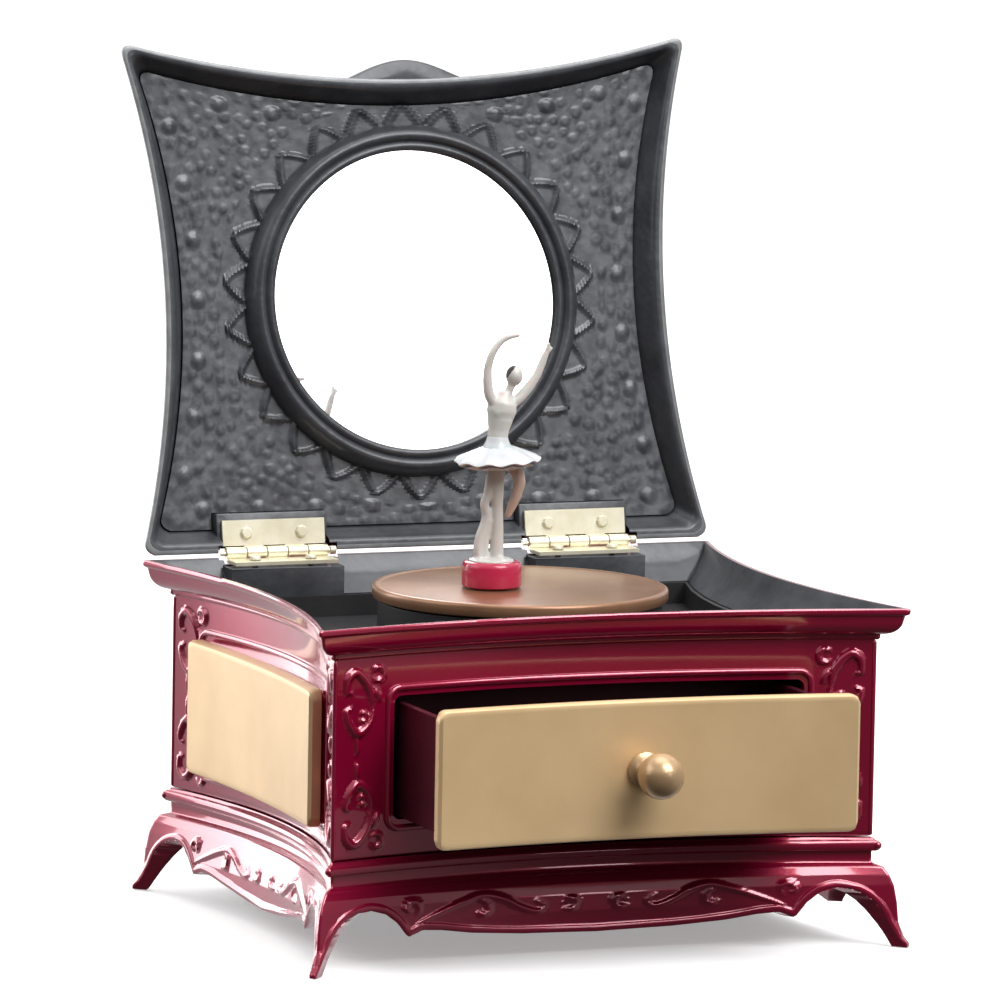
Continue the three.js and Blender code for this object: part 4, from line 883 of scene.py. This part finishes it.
def make_lid():
    outline = Outline(np.linspace(-1, 1, 150), np.linspace(-1, 1, 120), np.linspace(-1, 1, 150), ease=3.2)

    def at(out, n, shrink=1.0):
        loop = outline(out, LID_X, LID_DEPTH / 2) * shrink
        return at_height(loop + np.array([0, LID_MIDDLE]), n + LID_RIM)

    shares = (0.15, 0.35, 0.55, 0.75, 0.9)
    dome = [(-30, 14.2), (-18, 13.4), (-10.5, 12.2), (-6.4, 10.8), (-3.9, 8.2), (-2.2, 5), (-0.8, 2)]
    crown = smooth_path(dome + [(-0.2, 1.2)], 4)
    stack = [at(-30, 14.2, s) for s in shares]
    stack += [at(out, n) for out, n in crown]
    outer_rows = len(stack)
    rim = [(0, 0.9), (0, 0.35), (-0.15, 0.08), (-0.4, 0), (-1.1, 0), (-2.0, 0), (-2.3, 0.12), (-2.6, 0.4)]
    stack += [at(out, n) for out, n in rim]
    stack += [at(-2.8 - 2.8 * k / 5, 0.6 + 4.8 * k / 5) for k in range(6)]
    stack += [at(out, n) for out, n in ((-6, 6.4), (-8, 9), (-14, 10.8), (-30, 11.8))]
    stack += [at(-30, 11.8, s) for s in shares[::-1]]
    points, faces = rings(stack, (0, LID_MIDDLE, 14.2 + LID_RIM), (0, LID_MIDDLE, 11.8 + LID_RIM))
    lid = make("lid", [(points, faces)], "burgundy_gloss")
    lid.data.materials.append(MATS["graphite"])
    lid.data.materials.append(MATS["graphite_edge"])
    cols = len(stack[0])
    for face in lid.data.polygons:
        row = face.index // cols
        last_fan = face.index >= len(lid.data.polygons) - cols
        face.material_index = int(outer_rows - 1 <= row < len(stack) - 1 or last_fan)
        # The rim's edge rows take the lighter graphite copy, a painted highlight on the same plastic.
        if outer_rows <= row < outer_rows + 4:
            face.material_index = 2

    def finish(obj, slot, *nodes):
        open_up = Matrix.Rotation(-math.radians(LID_REST), 4, "X")
        obj.data.transform(Matrix.Translation((0, HINGE_Y * MM, HINGE_Z * MM)) @ open_up)
        dress(obj)
        declare(obj, "lid", slot, *nodes)

    notches = []
    for x in HINGE_XS:
        notches.append(cuboid(x - 13.8, x + 13.8, -8.4, 2, -5, -LEAF_Z + 0.3))
        notches.append(cuboid(x - 15.1, x + 15.7, -1.8, 2, -5, 1.6))
    carve(lid, notches, "graphite")
    finish(lid, "burgundy_gloss", "lid_shell")

    blocks = [cuboid(x - 14.4, x + 14.4, -9.9, 0.6, -LEAF_Z + 0.3, 11.3) for x in HINGE_XS]
    bosses = make("lid_hinge_bosses", blocks, "graphite")
    bevel(bosses, 0.4)
    inner = [at(-30, 13.6, s) for s in shares]
    inner += [at(out - 0.9, n - 0.6) for out, n in crown] + [at(-1.1, -1)]
    inner += [at(-30, -1, s) for s in (1, 0.5)]
    room = rings(inner, (0, LID_MIDDLE, 13.6 + LID_RIM), (0, LID_MIDDLE, -1 + LID_RIM))
    carve(bosses, [room], "graphite", "INTERSECT")
    finish(bosses, "graphite")

    floor = outline(-6.1, LID_X, LID_DEPTH / 2)
    shift = MIRROR_Y - LID_MIDDLE
    angle = np.arctan2(floor[:, 1] - shift, floor[:, 0])
    circle = np.column_stack([42 * np.cos(angle), 42 * np.sin(angle) + shift])
    bumps = lid_floor_bumps(floor)
    petals, rows = 26, 60
    stack = [at(-6.9, LINER + 1.6, s) for s in (*shares, 1)] + [at(-6.1, LINER + 0.5)]
    for r in range(rows + 1):
        share = (r / rows) ** 0.85
        loop = floor * (1 - share) + circle * share
        lift = np.zeros(len(loop))
        edge_gap = np.linalg.norm(loop - floor, axis=1)
        for x, y, radius, height in bumps:
            gap = np.hypot(loop[:, 0] - x, loop[:, 1] - y)
            lift = np.maximum(lift, height * np.sqrt(np.clip(1 - (gap / radius) ** 2, 0, 1)))
        reach = np.hypot(loop[:, 0], loop[:, 1] - shift)
        lift *= np.clip((reach - 50) / 0.8, 0, 1) * np.clip(edge_gap / 0.6, 0, 1)
        turn = (np.arctan2(loop[:, 1] - shift, loop[:, 0]) * petals / (2 * math.pi)) % 1.0
        along = np.clip((reach - 43.2) / 5.4, 0, 1.4)
        half = 0.44 * np.clip(1 - along, 0, 1) ** 0.8
        off = np.abs(turn - 0.5)
        outline_rib = np.clip(1 - np.abs(off - half) / 0.1, 0, 1) * (along < 1.08)
        petal = np.maximum(1.1 * np.sqrt(outline_rib), np.where(off < half, 0.4, 0.0))
        lift = np.maximum(lift, petal)
        stack.append(np.column_stack([loop[:, 0], loop[:, 1] + LID_MIDDLE, LINER + LID_RIM - lift]))
    points, faces = rings(stack, (0, LID_MIDDLE, LINER + 1.6 + LID_RIM), (0, MIRROR_Y, LINER + LID_RIM))
    liner = make("liner", [(points, faces)], "graphite_floor")
    carve(liner, [cuboid(x - 14.7, x + 14.7, -10.2, 4, -2, 12) for x in HINGE_XS], "graphite")
    finish(liner, "graphite", "lid_liner")

    disc = [
        (0, 12.8), (44, 12.8), (44, 13.7), (43.5, 14.3), (42.2, 15.1), (41, 15.5), (39.8, 15.2), (38.6, 14.6),
        (38.0, 14.45), (36.6, 14.45), (35.8, 14.9), (34.6, 14.9), (33.8, 14.3), (20, 14.7), (0, 14.9),
    ]
    medallion = lathe(disc, 128, (0, MIRROR_Y, LID_RIM))
    piece("lid_medallion", [to_row(medallion)], "burgundy_gloss", "lid")

    crest = []
    for t in np.linspace(-1, 1, 60):
        y = -LID_DEPTH + BOW_FRONT - 5 * math.cos(t * math.pi / 2) ** 1.2
        crest.append((t * 16.5, y))
    crest = np.array(crest)
    back_edge = np.column_stack([crest[:, 0], np.full(60, -LID_DEPTH + BOW_FRONT + 1.4)])
    layers = []
    for n, trim in ((1.5, 0.5), (1.75, 0.15), (2.4, 0.0), (4.9, 0.0), (5.6, 0.2), (5.9, 0.6)):
        loop = np.vstack([crest + np.array([0, trim]), back_edge[::-1]])
        layers.append(at_height(loop, n + LID_RIM))
    ends = [(0, -LID_DEPTH + 9, n + LID_RIM) for n in (1.5, 5.9)]
    piece("lid_finger_tab", [to_row(rings(layers, *ends))], "graphite", "lid")


def make_mirror():
    ring = [
        (0, 1.35), (0.3, 1.0), (0.9, 0.78), (1.4, 0.85), (1.9, 1.25), (2.2, 1.55), (2.5, 1.2), (2.8, 0.75),
        (3.3, 0.45), (3.9, 0.4), (4.5, 0.65), (5.1, 1.3), (5.7, 2.1), (6.2, 2.9), (6.5, 3.8),
        (6.6, LINER - 0.05), (2.2, LINER - 0.05), (2.2, 2.3), (0, 2.3),
    ]
    bezel = lathe([(r + MIRROR_R, n + LID_RIM) for r, n in ring], 160, (0, MIRROR_Y, 0))
    piece("bezel", [to_row(bezel)], "graphite", "lid", "mirror_bezel", angle=math.radians(48))
    face = [(0, 2.5), (MIRROR_R + 0.5, 2.5), (MIRROR_R + 1.4, 2.7), (MIRROR_R + 1.4, 4.6), (0, 4.6)]
    glass = lathe([(r, n + LID_RIM) for r, n in face], 128, (0, MIRROR_Y, 0))
    piece("glass", [to_row(glass)], "mirror_glass", "lid", "mirror_glass", angle=math.radians(3))


# ---------- stage and dancer


def make_stage():
    edge = [
        (-1.2, -STAGE_T), (-0.3, 0.4 - STAGE_T), (0, 1 - STAGE_T), (0, -0.8), (-0.15, -0.35), (-0.5, -0.08),
        (-0.9, 0), (-1.8, 0), (-2.1, -0.14), (-2.4, -0.16),
    ]
    profile = [(0, -STAGE_T)] + [(STAGE_R + out, z) for out, z in edge] + [(24, -0.1), (12, -0.05), (0, -0.03)]
    piece("stage", [lathe(profile, 160, (0, STAGE_Y, STAGE_TOP))], "bronze_satin", "chest", "stage_disc")


def limb(points, radii, sides=16, flat=1.0):
    path = smooth_path([(x, y, z) for x, z, y in points], 6)
    marks = np.linspace(0, 1, len(points))
    return tube(path, np.interp(np.linspace(0, 1, len(path)), marks, radii), sides, flat=flat)


def make_dancer():
    shift = np.array(DANCER)

    def placed(parts):
        return [(np.asarray(points) + shift, faces) for points, faces in parts]

    base_profile = [
        (0, 0.02), (6.7, 0.02), (7.1, 0.3), (7.2, 0.8), (7.15, 4.9), (7.0, 5.6), (6.6, 6.05), (6.0, 6.2),
        (0, 6.25),
    ]
    piece("figure_base", placed([lathe(base_profile, 96)]), "base_red", "dancer", "dancer_base")

    parts = [
        lathe([(0, 5.9), (5.2, 5.9), (5.6, 6.15), (5.4, 6.6), (4.6, 6.8), (0, 6.9)], 48, (-0.2, 0, 0)),
        limb(
            [(1.2, 6.0, 0), (1.2, 12, 0), (1.1, 19, 0), (1.0, 25, 0), (1.0, 30, 0)],
            [1.75, 1.6, 1.45, 1.75, 2.2],
        ),
        limb([(1.6, 6.5, -1.8), (1.5, 7.0, -0.8), (1.3, 8.2, 0.2)], [0.9, 1.2, 1.2]),
        limb(
            [(-3.0, 6.2, 0), (-3.6, 9, 0), (-3.2, 12, 0), (-2.1, 15, 0), (-1.6, 17.3, 0), (-2.1, 20, 0),
             (-1.2, 22.8, 0), (-0.6, 27, 0)],
            [1.1, 1.15, 1.15, 1.1, 1.15, 1.15, 1.2, 1.2],
        ),
        limb([(-1.9, 6.2, 0), (-1.9, 9, 0), (-1.7, 12.4, 0), (-1.2, 16, 0)], [1.2, 1.0, 0.9, 1.1]),
        limb([(3.6, 30.5, 0), (5.6, 27.6, -1.0), (6.3, 25.2, -1.4)], [2.0, 1.6, 1.45]),
        limb([(6.3, 25.2, -1.4), (5.6, 21.6, -0.8), (4.8, 18.8, 0.2), (4.2, 17.0, 0.6)], [1.45, 1.3, 1.1, 0.8]),
        ball((0.9, 0, 31.2), (3.3, 2.4, 2.6)),
        limb([(0.9, 31, 0), (0.9, 35.2, 0), (1.1, 37.6, 0), (1.5, 40.2, 0)], [2.6, 2.0, 2.0, 2.5], 20, 1.25),
        limb([(1.4, 39.6, 0), (1.8, 42.2, 0), (2.1, 44.2, 0), (2.5, 45.8, 0)], [2.3, 2.9, 2.7, 1.5], 20, 1.25),
        ball((0.7, -1.4, 42.0), (1.5, 1.1, 1.4)),
        ball((3.2, -1.4, 42.2), (1.5, 1.1, 1.4)),
        limb([(2.6, 44.6, 0), (3.6, 46.8, 0), (4.5, 49.0, 0)], [1.35, 1.0, 1.0]),
        ball((4.9, -0.1, 50.6), (2.05, 2.2, 2.5)),
        limb([(0.3, 43.6, 0), (-1.3, 46.0, 0), (-1.9, 49.5, 0), (-1.8, 52.8, 0.1)], [1.3, 1.3, 1.15, 1.0]),
        limb([(-1.8, 52.8, 0.1), (-0.8, 56, 0), (1.2, 58.7, 0), (3.4, 60.0, -0.2), (5.8, 60.3, -0.3)],
             [1.0, 0.92, 0.8, 0.75, 0.5]),
        limb([(4.0, 43.9, 0), (6.3, 45.2, 0), (8.8, 47.8, 0), (10.8, 50.6, -0.1)], [1.4, 1.35, 1.2, 1.0]),
        limb(
            [(10.8, 50.6, -0.1), (12.0, 53.4, -0.1), (13.0, 55.8, -0.1), (14.2, 57.0, -0.2)],
            [1.0, 0.9, 0.75, 0.5],
        ),
        limb([(13.0, 55.8, -0.1), (13.3, 57.2, -0.3), (13.5, 58.2, -0.4)], [0.6, 0.5, 0.4]),
    ]
    figure = make("figure", placed(parts), "doll_ivory")
    step = figure.modifiers.new("skin", "REMESH")
    step.mode, step.voxel_size = "VOXEL", 0.3 * MM
    ease = figure.modifiers.new("ease", "SMOOTH")
    ease.factor, ease.iterations = 0.5, 5
    settle(figure)
    figure.data.materials.clear()
    for look in ("doll_ivory", "blush", "hair"):
        figure.data.materials.append(MATS[look])
    head = np.array([4.9, -0.1, 50.6])
    for face in figure.data.polygons:
        spot = np.array(face.center) / MM - shift
        face.use_smooth = True
        away = spot - head
        reach = np.linalg.norm(away)
        if reach < 2.9 and away @ np.array([-0.72, 0.3, 0.62]) > 0.5 * reach and away[2] > -0.6:
            face.material_index = 2
        elif spot[0] > 3.2 and 15 < spot[2] < 30:
            face.material_index = 1
    declare(figure, "dancer", "doll_ivory", "dancer_figure")

    def frill(profile, waves, phase):
        turn = np.linspace(0, 2 * math.pi, 180, endpoint=False)
        stack = []
        for r, z in profile:
            share = r / 10.4
            ruffle = np.sin(waves * turn + phase) * 0.28 * share**3
            reach = r * (1 + 0.012 * np.sin(waves * turn + phase + 1))
            lean = 0.05 * r * np.cos(turn)
            stack.append(np.column_stack([1.0 + reach * np.cos(turn), reach * np.sin(turn), z + ruffle + lean]))
        return rings(stack, looped=True)

    over = [
        (2.2, 34.2), (3.0, 33.9), (4.6, 33.3), (7.0, 32.3), (9.0, 31.4), (10.2, 30.8), (10.4, 30.5),
        (10.1, 30.2), (8.6, 30.0), (5.0, 30.2), (2.2, 30.3),
    ]
    below = [
        (2.2, 30.6), (6.0, 30.4), (9.0, 30.0), (9.4, 29.7), (9.0, 29.4), (6.5, 28.7), (4.0, 28.3), (2.2, 28.2),
    ]
    layers = [frill(over, 11, 0.0), frill(below, 12, 1.3)]
    waist = lathe([(0, 31.0), (3.5, 33.6), (3.1, 34.3), (2.7, 35.2), (2.5, 36.0), (0, 36.1)], 48, (0.9, 0, 0))
    piece("tutu", placed(layers + [waist]), "tutu_white", "dancer", "dancer_tutu", angle=math.radians(60))


# ---------- pieces that keep their CAD shape

# (material, width of the eased edges): the nodes
REFINED = {
    ("tub_burgundy", 0.5): "drawer_tub",
    ("lining_dark", 0.3): "inner_tray stage_ring drawer_shelf compartment_wall bottom_plate",
    ("lining_dark", 0.2): "drawer_guide_left drawer_guide_right",
    ("pale_brass", 0.3): "winding_key",
    ("white_nylon", 0.2): "magnet_arm",
    ("zinc", 0.3): "movement_bedplate",
    ("zinc", 0.15): "bearing_plate_inner bearing_plate_middle bearing_plate_outer",
    ("movement_brass", 0.1): "spring_barrel music_cylinder",
    ("movement_brass", 0.06): "idler_wheel",
    ("steel", 0.2): "winding_arbor",
    ("steel", 0.15): "drive_shaft knob_screw",
    ("steel", 0.08): "comb",
    ("steel", 0.06): "governor_fan",
    ("ferrite", 0.2): "drive_magnet dancer_magnet",
}


def refine(node, look, width):
    """The CAD shape with its edges eased, standing for its node."""
    obj = bpy.data.objects.new(f"{node}_piece", NODES[node].data.copy())
    bpy.context.scene.collection.objects.link(obj)
    obj.data.materials.clear()
    obj.data.materials.append(MATS[look])
    for name in [a.name for a in obj.data.attributes if a.name == "custom_normal"]:
        obj.data.attributes.remove(obj.data.attributes[name])
    bm = bmesh.new()
    bm.from_mesh(obj.data)
    bmesh.ops.remove_doubles(bm, verts=bm.verts, dist=0.002 * MM)
    bmesh.ops.dissolve_limit(bm, angle_limit=math.radians(0.6), verts=bm.verts, edges=bm.edges)
    bm.to_mesh(obj.data)
    bm.free()
    bevel(obj, width, 2, math.radians(42))
    dress(obj, math.radians(42))
    step = obj.modifiers.new("even", "WEIGHTED_NORMAL")
    step.keep_sharp = True
    settle(obj)
    declare(obj, NODES[node]["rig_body"], look, node)


def refine_all():
    for (look, width), names in REFINED.items():
        for node in names.split():
            refine(node, look, width)
    for side in ("left", "right"):
        for part in ("lower_leaf", "upper_leaf", "pin"):
            refine(f"hinge_{side}_{part}", "pale_brass", 0.12)
        for part in ("lower_screw_1", "lower_screw_2", "upper_screw_1", "upper_screw_2"):
            refine(f"hinge_{side}_{part}", "pale_brass", 0.1)


def dress_rest():
    """The nodes still shown, all of them screws, keep their CAD shape and are made steel."""
    for obj in NODES.values():
        if not obj.hide_render:
            obj.data.materials.clear()
            obj.data.materials.append(MATS["steel"])


# ---------- the scene

scene = bpy.context.scene
scene.view_settings.view_transform = "Standard"
make_camera()
make_world()
MATS = make_materials()
make_floor()
area_light("key", (0.5, -1.15, 1.45), (0, 0, 0.1), 1.2, 30)
area_light("left", (-1.5, 0.2, 0.9), (0, 0, 0.08), 1.1, 5)
area_light("top", (0.1, 0.1, 1.7), (0, 0, 0.1), 1.2, 10)
area_light("mirror_card", (0.91, -2.19, 0.667), (0, 0.073, 0.142), 0.4, 1.6)
area_light("rear_left", (-0.75, 1.3, 0.35), (0, 0, 0.06), 1.0, 12)
make_body()
make_skirt()
make_panels()
make_drawer()
make_lid()
make_mirror()
make_stage()
make_dancer()
refine_all()
dress_rest()

bpy.context.view_layer.update()
